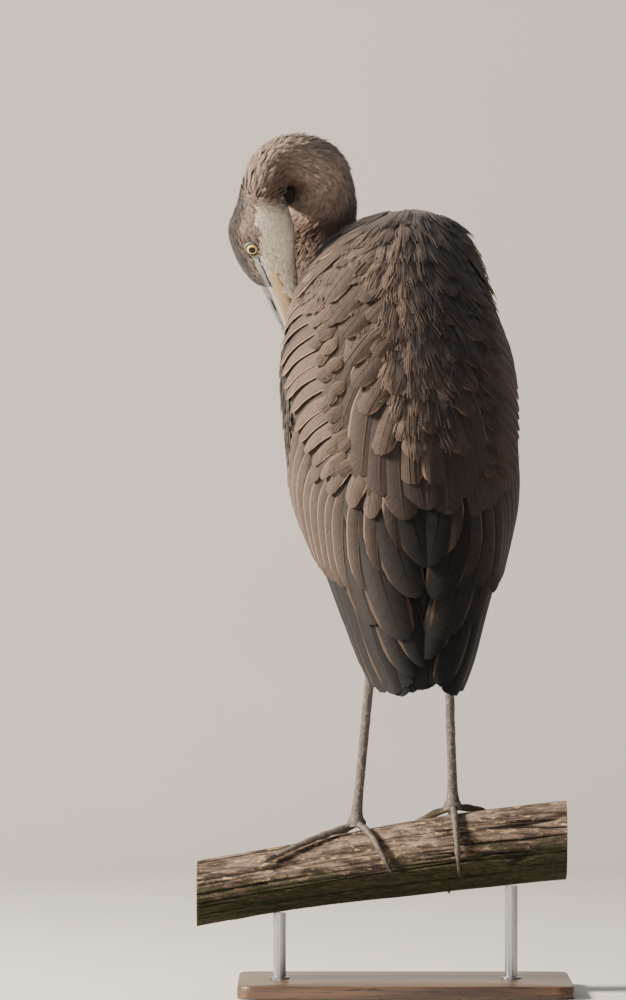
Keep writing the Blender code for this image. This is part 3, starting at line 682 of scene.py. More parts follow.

# ------------------------------------------------------------------ skin
# The flesh of trunk, neck, head and thighs under one unbroken skin. It lies below the feathers
# by the coat's depth and carries the same markings, darkened as painted shade for the gaps
# between feathers, and shows bare only before the eyes.

BODY_PLACE = np.array([-0.0035, -0.005, 0.600])
BODY_LEAN, BODY_TURN = math.radians(20), math.radians(12)
BODY = np.array([  # station, half width, depth of back, depth of belly, shift to the right
    (-0.310, 0.047, 0.044, 0.026, -0.005), (-0.291, 0.053, 0.049, 0.030, -0.004),
    (-0.257, 0.067, 0.056, 0.036, -0.003), (-0.211, 0.082, 0.066, 0.044, -0.002),
    (-0.141, 0.105, 0.078, 0.064, 0.0), (-0.073, 0.125, 0.088, 0.090, 0.0),
    (-0.004, 0.130, 0.095, 0.102, 0.0), (0.077, 0.130, 0.097, 0.106, 0.0),
    (0.128, 0.119, 0.095, 0.092, 0.0), (0.168, 0.106, 0.090, 0.072, 0.001),
    (0.200, 0.095, 0.080, 0.054, 0.007), (0.225, 0.080, 0.067, 0.040, 0.013),
    (0.243, 0.058, 0.050, 0.028, 0.019), (0.258, 0.022, 0.020, 0.012, 0.022),
])
COAT_DEPTH = 0.0115
TRUNK_TAPER = np.array(
    [(-0.205, 0.20), (-0.160, 0.50), (-0.110, 0.74), (-0.060, 0.92), (-0.020, 1.0), (0.258, 1.0)])
NECK = (  # middle, radius, way of the hind side
    ((-0.022, 0.045, 0.648), 0.050, (0, -1, 0.4)), ((-0.033, 0.098, 0.662), 0.048, (0, -0.6, 0.8)),
    ((-0.060, 0.124, 0.708), 0.046, (0.1, -1, 0.3)),
    ((-0.0795, 0.129, 0.766), 0.0445, (0.6, -0.8, 0)),
    ((-0.0915, 0.117, 0.820), 0.0415, (1, -0.1, 0.1)),
    ((-0.0905, 0.099, 0.862), 0.0390, (0.7, 0.6, 0.3)),
    ((-0.096, 0.076, 0.891), 0.032, (0.4, 0.4, 0.8)),
    ((-0.123, 0.048, 0.901), 0.0262, (-0.1, 0, 1)),
    ((-0.146, 0.025, 0.889), 0.0225, (-0.7, -0.1, 0.7)),
)
HEAD_PLACE = np.array([-0.142, 0.053, 0.765])
BILL_WAY = unit([0.338, 0.342, -0.876])
CROWN_WAY = np.array([-0.9326, 0.2433, -0.265])
CROWN_WAY = unit(CROWN_WAY - BILL_WAY * (CROWN_WAY @ BILL_WAY))
LEFT_WAY = np.cross(CROWN_WAY, BILL_WAY)
HEAD = np.array([  # crown (along, up), throat (along, up), half width; from the nape to the chin
    (-0.118, -0.0080, -0.098, -0.0460, 0.0215), (-0.104, 0.0010, -0.087, -0.0440, 0.0220),
    (-0.093, 0.0105, -0.075, -0.0445, 0.0235), (-0.080, 0.0215, -0.061, -0.0443, 0.0235),
    (-0.066, 0.0263, -0.049, -0.0420, 0.0215), (-0.052, 0.0273, -0.038, -0.0385, 0.0196),
    (-0.038, 0.0270, -0.028, -0.0350, 0.0188), (-0.025, 0.0243, -0.018, -0.0320, 0.0176),
    (-0.014, 0.0205, -0.010, -0.0300, 0.0160), (-0.005, 0.0150, -0.002, -0.0280, 0.0138),
    (0.002, 0.0060, 0.004, -0.0265, 0.0118), (0.012, -0.0060, 0.013, -0.0235, 0.0085),
    (0.021, -0.0110, 0.021, -0.0200, 0.0060), (0.029, -0.0125, 0.029, -0.0160, 0.0025),
])


def body_point(station, angle, lift=0.0, share=1.0):
    """A point over the plumage of trunk and wings: ovals square to the leaning, turned body line.

    angle is 0 in the middle of the back and climbs to the bird's right.
    """
    station, angle = np.broadcast_arrays(np.asarray(station, float), np.asarray(angle, float))
    row = through(BODY, station)
    turn = np.cos(angle)
    depth = np.where(turn > 0, row[..., 1], row[..., 2])
    taper = 1 - 0.30 * np.minimum(turn, 0) ** 2
    local = np.stack(
        [row[..., 3] + (row[..., 0] * share + lift) * np.sin(angle) * taper,
        -(depth * share + lift) * turn, station], -1)
    return local @ body_turn.T + BODY_PLACE


lean = np.array([[1, 0, 0], [0, math.cos(BODY_LEAN), math.sin(BODY_LEAN)],
                 [0, -math.sin(BODY_LEAN), math.cos(BODY_LEAN)]])
turned = np.array([[math.cos(BODY_TURN), -math.sin(BODY_TURN), 0],
                   [math.sin(BODY_TURN), math.cos(BODY_TURN), 0], [0, 0, 1]])
body_turn = turned @ lean


def head_point(along, up, out=0.0):
    """A point in the head's own directions: along the bill, towards the crown, to its left."""
    along, up, out = (np.asarray(value, float)[..., None] for value in (along, up, out))
    return HEAD_PLACE + BILL_WAY * along + CROWN_WAY * up + LEFT_WAY * out


def neck_table():
    """Ovals along neck and head by length: middle, side, up, half width and half height."""
    crown, throat = head_point(HEAD[:, 0], HEAD[:, 1]), head_point(HEAD[:, 2], HEAD[:, 3])
    middles = np.concatenate([[row[0] for row in NECK], (crown + throat) / 2])
    along = middles[np.minimum(np.arange(9) + 1, 9)] - middles[np.maximum(np.arange(9) - 1, 0)]
    side = unit(np.cross(along, np.array([row[2] for row in NECK], float)))
    up = unit(np.cross(side, along))
    side = np.concatenate([side, np.repeat([np.cross(BILL_WAY, CROWN_WAY)], len(HEAD), 0)])
    up = np.concatenate([up, unit(crown - throat)])
    radius = np.array([row[1] for row in NECK])
    wide = np.concatenate([radius, HEAD[:, 4]])
    high = np.concatenate([radius, np.linalg.norm(crown - throat, axis=1) / 2])
    return np.concatenate(
        [measured(middles)[:, None], middles, side, up, wide[:, None], high[:, None]], 1)


NECK_ROWS = neck_table()
NAPE_LENGTH, HEAD_LENGTH = NECK_ROWS[len(NECK) + 1, 0], NECK_ROWS[-1, 0]


def neck_point(length, angle, lift=0.0):
    """A point over neck and head; angle is 0 on the hind side and crown, and pi on the throat."""
    length, angle = np.broadcast_arrays(np.asarray(length, float), np.asarray(angle, float))
    row = through(NECK_ROWS, length)
    side = unit(row[..., 3:6])
    up = row[..., 6:9]
    up = unit(up - side * (up * side).sum(-1, keepdims=True))
    wide = (row[..., 9] + lift) * np.sin(angle)
    high = (row[..., 10] + lift) * np.cos(angle)
    return row[..., :3] + side * wide[..., None] + up * high[..., None]


def closed_part(rows):
    """A plain closed mesh over rows of points, as a piece of the skin before it is joined."""
    points, faces = stacked(rows)
    made = mesh_object("flesh", points, faces, leg_skin)
    return tidy_skin(made)


flesh_angle = np.linspace(0, 2 * math.pi, 72, endpoint=False)
flesh_station = np.linspace(-0.203, 0.250, 110)[:, None]
flesh_share = through(TRUNK_TAPER, flesh_station)[..., 0]
trunk_rows = body_point(flesh_station, flesh_angle[None, :], -COAT_DEPTH, flesh_share)
neck_length = np.linspace(0.0, HEAD_LENGTH - 0.001, 220)[:, None]
neck_depth = through(
    [(0, 0.0075), (NAPE_LENGTH * 0.7, 0.0060), (NAPE_LENGTH, 0.0042), (NAPE_LENGTH + 0.040, 0.0020),
    (HEAD_LENGTH - 0.045, 0.0008), (HEAD_LENGTH, 0.0004)], neck_length)[..., 0]
neck_rows = neck_point(neck_length, flesh_angle[None, :], -neck_depth)
# A plug of flesh closes the fold between the neck and the back of the head.
FOLD_X, FOLD_Z = -0.1285, 0.862
fold_turn = np.linspace(0.06, math.pi - 0.06, 16)[:, None]
fold_round = np.sin(fold_turn) * (0.86 + 0.14 * np.cos(fold_turn))
fold_along = 0.053 - 0.040 * np.cos(fold_turn) + 0 * flesh_angle
fold_rows = np.stack(
    [FOLD_X - 0.0115 * fold_round * np.cos(flesh_angle), fold_along,
    FOLD_Z + 0.0145 * fold_round * np.sin(flesh_angle)], -1)
flesh = [closed_part(trunk_rows), closed_part(neck_rows), closed_part(fold_rows)]
THIGHS = {
    "left": ((-0.046, 0.030, 0.575), (-0.040, 0.010, 0.432)),
    "right": ((0.046, 0.030, 0.575), (0.048, 0.010, 0.436)),
}


def thigh_point(side):
    """The surface function of one feathered thigh, from the bare shank at 0 up to the knee."""
    knee, foot = (np.array(place) for place in THIGHS[side])
    span = float(np.linalg.norm(knee - foot))
    axis = (knee - foot) / span
    across = unit(np.cross(axis, [0, -1, 0]))
    back = np.cross(across, axis)

    def point(length, angle, lift=0.0):
        length, angle = np.broadcast_arrays(np.asarray(length, float), np.asarray(angle, float))
        radius = through([(0, 0.0105), (span * 0.25, 0.018), (span * 0.5, 0.029),
                          (span * 0.75, 0.038), (span, 0.040)], length)[..., 0] + lift
        aside, behind = (radius * np.sin(angle))[..., None], (radius * np.cos(angle))[..., None]
        return foot + axis * length[..., None] + across * aside - back * behind

    return point, span


for thigh_side in THIGHS:
    thigh_surface, thigh_span = thigh_point(thigh_side)
    thigh_length = np.linspace(0.004, thigh_span + 0.01, 40)[:, None]
    thigh_depth = through([(0, 0.003), (thigh_span, 0.009)], thigh_length)[..., 0]
    flesh.append(closed_part(thigh_surface(thigh_length, flesh_angle[None, :], -thigh_depth)))
bpy.context.view_layer.update()
flesh_points, flesh_faces, flesh_count = [], [], 0
for piece in flesh:
    mesh = piece.data
    coordinates = np.empty(len(mesh.vertices) * 3, np.float32)
    mesh.vertices.foreach_get("co", coordinates)
    flesh_points.append(coordinates.reshape(-1, 3))
    flesh_faces += [[v + flesh_count for v in polygon.vertices] for polygon in mesh.polygons]
    flesh_count += len(mesh.vertices)
    bpy.data.objects.remove(piece, do_unlink=True)
joined = bpy.data.meshes.new("skin_source")
joined.from_pydata(np.concatenate(flesh_points).tolist(), [], flesh_faces)
skin_source = bpy.data.objects.new("skin_source", joined)
bpy.context.scene.collection.objects.link(skin_source)
remesh = skin_source.modifiers.new("one_skin", "REMESH")
remesh.mode = "VOXEL"
remesh.voxel_size = 0.0023
relax = skin_source.modifiers.new("relax", "SMOOTH")
relax.factor = 0.5
relax.iterations = 4
bpy.context.view_layer.update()
skin_mesh = bpy.data.meshes.new_from_object(
    skin_source.evaluated_get(bpy.context.evaluated_depsgraph_get()))
bpy.data.objects.remove(skin_source, do_unlink=True)
skin_points = np.empty(len(skin_mesh.vertices) * 3, np.float32)
skin_mesh.vertices.foreach_get("co", skin_points)
skin_points = skin_points.reshape(-1, 3).astype(float)


def nearest_on_neck(points):
    """For each point: length along neck and head of the closest middle, way round, distance."""
    length = np.linspace(0, HEAD_LENGTH, 160)
    row = through(NECK_ROWS, length)
    best = np.full(len(points), 9.0)
    where = np.zeros(len(points), int)
    for k in range(len(length)):
        distance = np.linalg.norm(points - row[k, :3], axis=1) / max(row[k, 9], 0.012)
        closer = distance < best
        best = np.where(closer, distance, best)
        where = np.where(closer, k, where)
    spot = row[where]
    offset = points - spot[:, :3]
    angle = np.arctan2((offset * unit(spot[:, 3:6])).sum(-1), (offset * unit(spot[:, 6:9])).sum(-1))
    return length[where], angle, best


def colours(*rows):
    """Linear colours as rows of red, green and blue from screen values."""
    return np.array([paint(*row)[:3] for row in rows])


def between(share, first, second):
    share = np.clip(np.asarray(share, float), 0, 1)[..., None]
    return np.asarray(first) * (1 - share) + np.asarray(second) * share


def body_colour(station, angle):
    """The trunk's markings: slate-brown back, grey flanks, white belly with dark streaks."""
    back, flank, white, dark, buff = colours(
        (78, 69, 63), (94, 84, 78), (222, 214, 202), (58, 52, 50), (176, 140, 112))
    round_share = np.abs(np.degrees(angle))
    spot = np.stack([station * 30, np.sin(angle) * 4, np.cos(angle) * 4], -1)
    wander = rumple(spot, 21)
    tone = between(climb(round_share, 60, 100), back, flank)
    tone = between(climb(round_share + 10 * wander, 118, 140), tone, white)
    streak = climb(np.cos(np.radians(round_share) * 15 + wander * 1.5), 0.35, 0.8)
    streak = streak * climb(round_share, 118, 135) * climb(station, -0.10, 0.02)
    tone = between(streak * 0.85, tone, dark)
    warm = climb(round_share, 105, 125) * climb(-round_share, -150, -128)
    warm = warm * climb(station, 0.05, 0.16)
    return between(warm * 0.45, tone, buff)


def neck_colour(length, angle):
    """The markings of neck and head: grey-brown behind, rufous in the fold of the throat, a
    streaked white front, a slate crown, a mottled face, and a white cheek and chin; with painted
    light inside the neck's bend, and painted shade under the chin and deep in the fold."""
    hind, rufous, white, dark, crown, cheek, face = colours(
        (132, 116, 106), (142, 102, 80), (206, 196, 182), (66, 55, 50), (64, 58, 57),
        (234, 225, 210), (128, 112, 103))
    share = length / NAPE_LENGTH
    round_share = np.abs(np.degrees((angle + math.pi) % (2 * math.pi) - math.pi))
    spot = np.stack([length * 60, np.sin(angle) * 3, np.cos(angle) * 3], -1)
    wander = rumple(spot, 22)
    fine = rumple(spot * 4.1, 23)
    fold = climb(share, 0.50, 0.66) * climb(-share, -1.0, -0.90)
    tone = between(climb(round_share + 16 * wander, 60, 125) * (0.24 + 0.20 * fold), hind, rufous)
    tone = between(climb(fine, 0.0, 0.8) * 0.30, tone, hind * 0.62)
    # Painted light: a lighter patch inside the neck's bend, where the head keeps the key lamp off.
    painted_limb_light = climb(round_share, 30, 80) * climb(-share, -0.98, -0.84) * climb(share, 0.60, 0.72)
    painted_limb_light_tone = colours((206, 184, 168))[0] * (1 + 0.5 * fine[..., None])
    tone = between(0.62 * painted_limb_light, tone, painted_limb_light_tone)
    # Painted shadow: darker under the chin, between the head and the neck.
    painted_chin_shadow = climb(round_share, 50, 90) * climb(-share, -0.68, -0.60) * climb(share, 0.26, 0.38)
    tone = tone * (1 - 0.50 * painted_chin_shadow[..., None])
    # Painted shade: a near-black rufous pit deep in the fold of the throat.
    painted_fold_shade = climb(round_share + 10 * wander, 136, 164) * climb(share, 0.72, 0.80) * fold
    tone = between(0.65 * painted_fold_shade, tone, rufous * 0.30)
    stripe = climb(round_share + 8 * wander, 150, 164) * (1 - fold)
    tone = between(stripe, tone, white)
    streak = climb(fine + 0.5 * wander, 0.15, 0.45) * climb(round_share, 142, 156)
    tone = between(streak * 0.8 * (1 - fold), tone, dark)
    base = climb(-length, -0.13, -0.035) * climb(round_share, 40, 100)
    breast = between(climb(fine + 0.6 * wander, 0.1, 0.5) * 0.6, white * (1 + 0 * tone), dark)
    tone = between(base, tone, breast)
    head = climb(length + 0.010 * np.cos(angle), NAPE_LENGTH - 0.012, NAPE_LENGTH + 0.016)
    top = climb(-round_share - 5 * wander, -62, -44)
    edge = through(
        [(NAPE_LENGTH - 0.02, 84), (NAPE_LENGTH + 0.02, 84), (NAPE_LENGTH + 0.045, 91),
        (NAPE_LENGTH + 0.065, 83), (NAPE_LENGTH + 0.08, 77), (HEAD_LENGTH, 74)], length)[..., 0]
    low = climb(round_share + 4 * wander - edge, -6, 8)
    mottle = climb(fine, -0.1, 0.6)
    head_tone = between(0.55 * mottle, np.broadcast_to(face, tone.shape), face * 0.52)
    head_tone = between(0.30 * climb(-fine, 0.2, 0.7), head_tone, colours((190, 164, 148))[0])
    head_tone = between(
        top, head_tone, between(0.8 * mottle, np.broadcast_to(crown, tone.shape), crown * 0.6))
    head_tone = between(low, head_tone, cheek)
    return between(head, tone, head_tone)


def thigh_colour(length, angle):
    pale, warm = colours((206, 192, 175), (166, 128, 100))
    return between(climb(length, 0.04, 0.125), warm, pale)


skin_local = (skin_points - BODY_PLACE) @ body_turn
skin_row = through(BODY, skin_local[:, 2])
skin_angle = np.arctan2(
    (skin_local[:, 0] - skin_row[:, 3]) / skin_row[:, 0], -skin_local[:, 1] / skin_row[:, 1])
neck_spot, neck_turn, neck_far = nearest_on_neck(skin_points)
# Painted shade: the skin takes the feathers' markings darkened, so gaps between feathers read dark.
flesh_tone = body_colour(skin_local[:, 2], skin_angle) * 0.6
on_neck = climb(-neck_far, -1.15, -0.98) * climb(neck_spot, 0.03, 0.08)
flesh_tone = between(on_neck, flesh_tone, neck_colour(neck_spot, neck_turn) * 0.88)
# Painted shade: the plug in the fold is near-black brown, standing for shade between neck and head.
fold_shade_reach = (skin_points - [FOLD_X, 0.055, FOLD_Z]) / [0.014, 0.048, 0.017]
fold_shade_reach = np.linalg.norm(fold_shade_reach, axis=1)
fold_shade_tone = between(
    climb(skin_points[:, 1], 0.055, 0.080), colours((30, 23, 20))[0] + 0 * flesh_tone,
    colours((48, 37, 31))[0])
flesh_tone = between(climb(-fold_shade_reach, -1.15, -0.95), flesh_tone, fold_shade_tone)
on_thigh = climb(-skin_points[:, 2], -0.52, -0.49)
flesh_tone = between(on_thigh, flesh_tone, thigh_colour(0.05 + 0 * neck_spot, 0) * 0.7)
bare_skin = Surface("bare_skin", Specular_IOR_Level=0.4)
skin_coat = bare_skin.attribute("coat", 0)
skin_fine = bare_skin.place.noise(900.0, 3.0, 0.6)
skin_fold = bare_skin.place.noise(240.0, 4.0, 0.6)
skin_tone = skin_coat.shaded(skin_fold.step(0.25, 0.75) * 0.35, 0.5, 0.48, 0.46)


def along_way(way):
    """Metres from the head's own origin along one of its directions, as a shader sum."""
    origin = float(HEAD_PLACE @ way)
    way = tuple(float(value) for value in way)
    return bare_skin.place.node("ShaderNodeVectorMath", {"operation": "DOT_PRODUCT"}, output=1,
                                n0=bare_skin.place, n1=way) - origin


lore_along, lore_up = along_way(BILL_WAY), along_way(CROWN_WAY)
lore_out = along_way(LEFT_WAY).unary("ABSOLUTE")
lore_wander = skin_fold * 0.003 - 0.0015
lore_line = lore_up + lore_wander
lore_tone = lore_along.step(-0.040, -0.030).mix((140, 146, 132), (178, 168, 112))
lore_tone = lore_tone.under(
    (lore_along.step(-0.024, -0.014), (112, 118, 124)),
    (lore_line.step(0.0050, 0.0034), (136, 144, 152)))
lore_tone = lore_tone.under(
    (lore_line.step(0.0012, 0.0002) * lore_line.step(-0.0016, -0.0006), (34, 30, 30)),
    (lore_line.step(0.0056, 0.0075), (100, 102, 104)),
    (lore_line.step(-0.0012, -0.0020), (208, 186, 144)),
    (lore_up.step(-0.0108, -0.0116), (172, 130, 92)))
lore_side, lore_back = lore_up.step(-0.0026, -0.0018), lore_along.step(-0.0180, -0.0172)
lore_share = lore_along.step(-0.050, -0.046) * lore_up.step(0.0100, 0.0085)
lore_share = lore_share * lore_up.step(-0.0150, -0.0140)
lore_share = lore_share * (lore_side + lore_back - lore_side * lore_back)
lore_share = lore_share * lore_along.step(0.040, 0.036) * lore_out.step(0.034, 0.030)
lore_share = lore_share * lore_out.step(0.003, 0.005)
lore_tone = (skin_fold.step(0.4, 0.7) * 0.25).mix(lore_tone, (92, 96, 92))
skin_tone = lore_share.mix(skin_tone, lore_tone)
bare_skin.feed(Base_Color=skin_tone, Roughness=skin_fine.step(0.2, 0.8, 0.50, 0.72))
bare_skin.bump(skin_fine * 0.4 + skin_fold, 0.45, 0.0008)
skin_colour = np.concatenate([flesh_tone, np.ones((len(flesh_tone), 1))], 1)
skin_mesh.attributes.new("coat", "FLOAT_COLOR", "POINT").data.foreach_set(
    "color", skin_colour.astype(np.float32).ravel())
skin_mesh.materials.clear()
skin_mesh.materials.append(bare_skin.material)
skin_mesh.shade_smooth()
skin = bpy.data.objects.new("skin", skin_mesh)
bpy.context.scene.collection.objects.link(skin)
NECK_NODES = ("neck_base", "neck_lower", "neck_middle", "neck_arch", "neck_upper")
mounted(skin, "plumage_neck", "trunk", *NECK_NODES, "head", "thigh_left", "thigh_right")

# ------------------------------------------------------------------ belly, flanks and thighs
# Soft body feathers, rooted in rows in the skin and lying towards the tail, each over the next
# one's root; on the thighs they are short. Each is a vane split into bundles of barbs.


def plumes(surface, length, angle, way, long, wide, low=0.0, high=0.002, cup=0.12, bow=0.0,
           tilt=0.0, curl=0.0, bundles=5, rows=6, tip=1.0, ragged=0.10, split=0.5, narrow=0.5,
           peak=0.45, stray=0.0006, seed=1):
    """Feathers over a surface, as one array of points (feather, bundle, row, side).

    Each starts at (length, angle) and runs down the surface, turned by way towards larger angles.
    Its half width grows from narrow x wide to wide by the peak share of its length, its tip is an
    arc (tip = 1 round, 0 square), its bundles of barbs end raggedly and part from each other by
    split. It rises from low to high over the surface, its edges fall by cup x half width, bow
    bends it sideways, tilt raises the edge of larger angle, and curl turns its tip inwards.
    """
    dice = np.random.default_rng(seed)
    given = (length, angle, way, long, wide, low, high, bow, tilt, curl)
    fields = [np.asarray(value, float) for value in given]
    count = max(field.size for field in fields)
    length, angle, way, long, wide, low, high, bow, tilt, curl = (
        np.broadcast_to(field, count)[:, None, None, None] for field in fields)
    middle = ((2 * np.arange(bundles) + 1 - bundles) / bundles)[None, :, None, None]
    share = np.linspace(0, 1, rows)[None, None, :, None]
    side = np.array([-1.0, 1.0])[None, None, None, :]
    apart = 1 - split * climb(share, 0.45, 1.0)
    across = middle + side * apart / bundles
    arc = 1 - np.sqrt(np.clip(1 - 0.97 * (middle + side / bundles) ** 2, 0, 1))
    uneven = dice.random((count, bundles, 1, 1)) * ragged
    end = 1 - tip * np.minimum(wide / long, 0.6) * arc - uneven
    run = share * end
    half = wide * (narrow + (1 - narrow) * climb(run, 0, peak))
    shift = half * across + bow * long * run * run
    forward = long * run - curl * long * climb(run, 0.6, 1.0) * 0.1
    down = forward * np.cos(way) - shift * np.sin(way)
    aside = forward * np.sin(way) + shift * np.cos(way)
    step = 0.01
    beside = surface(length - down, angle + step) - surface(length - down, angle - step)
    metres = np.maximum(np.linalg.norm(beside, axis=-1) / (2 * step), 0.006)
    rise = low + (high - low) * run - cup * wide * across ** 2 + tilt * wide * across
    rise = rise + dice.normal(0, 1, (count, bundles, 1, 1)) * stray * run
    rise = rise + dice.normal(0, 1, (count, 1, 1, 1)) * stray * 0.7 - curl * long * 0.12 * run ** 4
    points = surface(length - down, angle + aside / metres, rise)
    return {
        "points": points, "across": np.broadcast_to(across, points.shape[:-1]),
        "run": np.broadcast_to(run, points.shape[:-1]),
        "length": length, "angle": angle, "long": long, "wide": wide,
        "luck": dice.random((count, 1, 1, 1)),
    }


def barb_surface(name, rough=0.62, shaft=0.5, streak=0.5, shade=0.55, relief=0.5, edge=0.74,
                 side_rim=0.0, sheen=0.12):
    """A plumage material: the feather's own colour with fine barb streaks, a shaft line, a pale
    edge and painted shade at the root under the feather above, all from the feather's own map and
    values."""
    made = Surface(
        name, Roughness=rough, Specular_IOR_Level=0.16 + sheen, Sheen_Weight=sheen,
        Sheen_Roughness=0.5)
    coat = made.attribute("coat", 0)
    rim = made.attribute("rim", 0)
    trait = made.attribute("trait", 1)
    luck, long, wide = trait.part(0), trait.part(1), trait.part(2)
    edge_share = made.attribute("trait", 3)
    vane = made.uv("vane")
    off = (vane.part(0) * 2.0 - 1.0).unary("ABSOLUTE")
    run = vane.part(1)
    lines = run * long - off * wide * 0.9
    barb = (lines * 1000.0).flat_noise(off * 1.3 + luck * 40.0, 0.85, 3.0, 0.65)
    broad = (lines * 190.0).flat_noise(off * 0.8 + luck * 70.0, 1.0, 2.0)
    tone = coat.shaded(barb.step(0.30, 0.70, 0.0, streak), 0.42, 0.40, 0.39)
    tone = tone.shaded(broad.step(0.35, 0.70, 0.0, 0.45), 0.60, 0.58, 0.57)
    tone = tone.shaded(luck.step(0.0, 1.0, 0.0, 0.26), 0.62, 0.61, 0.62)
    outer = (off ** 2.0) * 0.75 + run.step(0.55, 1.0) * 0.62
    outer = outer + barb * 0.24 - 0.12
    outer = outer.maths("MAXIMUM", outer.step(edge, 1.02), off.step(0.86, 0.98) * side_rim)
    tone = (outer * edge_share).mix(tone, rim)
    line = off.step(0.085, 0.02) * run.step(1.0, 0.75)
    tone = tone.shaded(line * shaft, 0.30, 0.28, 0.27)
    # Painted shade at the root, where the feather above overlaps it.
    tone = tone.shaded(run.step(0.42, 0.0) * shade, 0.35, 0.34, 0.34)
    made.feed(Base_Color=tone, Roughness=barb.step(0.2, 0.8, rough - 0.1, rough + 0.12))
    made.bump(barb + line * 0.6, relief, 0.0007)
    return made


def spread_root(chart, sheet):
    """The root's place on an unwrap of the skin: way round across, length upwards."""
    length, angle = sheet["length"], sheet["angle"]
    low, high = chart
    return np.stack(
        [((angle / (2 * math.pi) + 0.5) % 1.0) * 0.98 + 0.01, np.clip((length - low) / (high - low),
        0, 1) * 0.98 + 0.01 + 0 * angle], -1)


def coat_object(name, sheets, surface, slot, nodes, chart, patch=0.003):
    """One object of many feathers: sheets of points with their colours (tone, rim, rim share)."""
    points, faces, vane, bake, coat, rims, traits, start = [], [], [], [], [], [], [], 0
    for sheet, tone, rim, rim_share in sheets:
        shape = sheet["points"].shape[:4]
        count, bundles, rows, _ = shape
        first = (np.arange(count * bundles) * rows * 2)[:, None]
        row = (np.arange(rows - 1) * 2)[None, :]
        corner = first + row
        quads = np.stack([corner, corner + 2, corner + 3, corner + 1], -1).reshape(-1, 4) + start
        points.append(sheet["points"].reshape(-1, 3))
        faces.append(quads)
        own = np.stack([sheet["across"] * 0.5 + 0.5, sheet["run"]], -1)
        vane.append(own.reshape(-1, 2))
        root = spread_root(chart, sheet)
        bake.append((root + (own - 0.5) * patch).reshape(-1, 2))
        tone, rim = (
            np.broadcast_to(np.asarray(value, float), (count, 3))[:, None, None,
            None] for value in (tone, rim))
        one = np.ones(shape + (1,))
        coat.append(np.concatenate([tone * one, one], -1).reshape(-1, 4))
        rims.append(np.concatenate([rim * one, one], -1).reshape(-1, 4))
        rim_share = np.broadcast_to(np.asarray(rim_share, float), count)[:, None, None, None, None]
        traits.append(
            np.concatenate([sheet["luck"][..., None] * one, sheet["long"][..., None] * one,
            sheet["wide"][..., None] * one, rim_share * one], -1).reshape(-1, 4))
        start += points[-1].shape[0]
    made = mesh_object(
        name, np.concatenate(points), np.concatenate(faces), surface,
        uv={"vane": np.concatenate(vane), "OFBake": np.concatenate(bake)},
        values={"coat": np.concatenate(coat), "rim": np.concatenate(rims),
        "trait": np.concatenate(traits)})
    return mounted(made, slot, *nodes)


def tract(length_range, angle_range, row_step, side_step, around, seed, stray=0.22):
    """Roots in staggered rows over part of a surface; around gives metres per radian."""
    dice = np.random.default_rng(seed)
    lengths, angles = [], []
    rows = max(2, int(round((length_range[1] - length_range[0]) / row_step)))
    for k, length in enumerate(np.linspace(length_range[0], length_range[1], rows)):
        metres = float(around(length))
        count = max(2, int(round((angle_range[1] - angle_range[0]) * metres / side_step)))
        pitch = (angle_range[1] - angle_range[0]) / count
        row = angle_range[0] + (np.arange(count) + 0.25 + 0.5 * (k % 2)) * pitch
        angles.append(row + dice.normal(0, stray, count) * pitch)
        lengths.append(length + dice.normal(0, stray, count) * row_step)
    return np.concatenate(lengths), np.concatenate(angles)


def varied(tone, spread, count, dice):
    """The tone for each of count feathers, a little lighter or darker; dice may be a seed."""
    return tone * (1 + np.random.default_rng(dice).normal(0, spread, (count, 1)))


def body_around(length):
    row = through(BODY, length)
    return 0.5 * row[..., 0] + 0.25 * (row[..., 1] + row[..., 2])


def tapered_body(length, angle, lift=0.0):
    """The body's surface below the wings, where the trunk tapers in towards the tail."""
    share = through(TRUNK_TAPER, length)[..., 0]
    return body_point(length, angle, lift, share)


BODY_CHART, THIGH_CHART = (-0.33, 0.27), (0.0, 0.2)  # lengths that the unwraps span
down_coat = barb_surface("down_coat", rough=0.78, shaft=0.15, streak=0.45, shade=0.35)
down_length, down_angle = tract(
    (-0.195, 0.246), (math.radians(62), math.radians(298)), 0.0125, 0.0105, body_around, 31)
down_keep = (np.abs(np.degrees(down_angle) - 180) < 72) | (down_length < -0.035)
down_keep &= np.abs(np.degrees(down_angle) - 180) < 118
down_length, down_angle = down_length[down_keep], down_angle[down_keep]
down_angle = (down_angle + math.pi) % (2 * math.pi) - math.pi
down_dice = np.random.default_rng(32)
down_front = climb(down_length, 0.02, 0.16)
down_sheet = plumes(
    tapered_body, down_length, down_angle, down_dice.normal(0, 0.10, down_length.size),
    0.030 + 0.010 * down_front + down_dice.normal(0, 0.002, down_length.size),
    0.0086 - 0.0016 * down_front, low=-0.0105, high=-0.0016, cup=0.16, bundles=6, rows=6,
    ragged=0.20, split=0.62, seed=33)
down_tone = body_colour(down_length, down_angle)
down_tone = varied(down_tone, 0.07, down_length.size, down_dice)
coat_object(
    "belly_feathers", [(down_sheet, down_tone, down_tone * 1.1, 0.3)], down_coat, "plumage_back",
    ["trunk"], BODY_CHART)

for thigh_side in THIGHS:
    thigh_surface, thigh_span = thigh_point(thigh_side)
    thigh_around = lambda length: 0.010 + 0.19 * length
    thigh_length, thigh_angle = tract(
        (0.016, thigh_span), (-math.pi, math.pi), 0.0085, 0.0065, thigh_around, 35)
    thigh_dice = np.random.default_rng(36)
    thigh_size = through([(0, 0.7), (0.05, 1.0), (thigh_span, 1.5)], thigh_length)[..., 0]
    sheet = plumes(
        thigh_surface, thigh_length, thigh_angle, thigh_dice.normal(0, 0.10, thigh_length.size),
        0.019 * thigh_size, 0.0046 * thigh_size, low=-0.0055, high=0.0000, bundles=5, rows=5,
        ragged=0.22, split=0.6, seed=37)
    tone = thigh_colour(thigh_length, thigh_angle)
    tone = varied(tone, 0.08, thigh_length.size, thigh_dice)
    thigh_node = "thigh_" + thigh_side
    coat_object(
        thigh_node + "_feathers", [(sheet, tone, tone * 1.15, 0.3)], down_coat, "plumage_back",
        [thigh_node], THIGH_CHART)
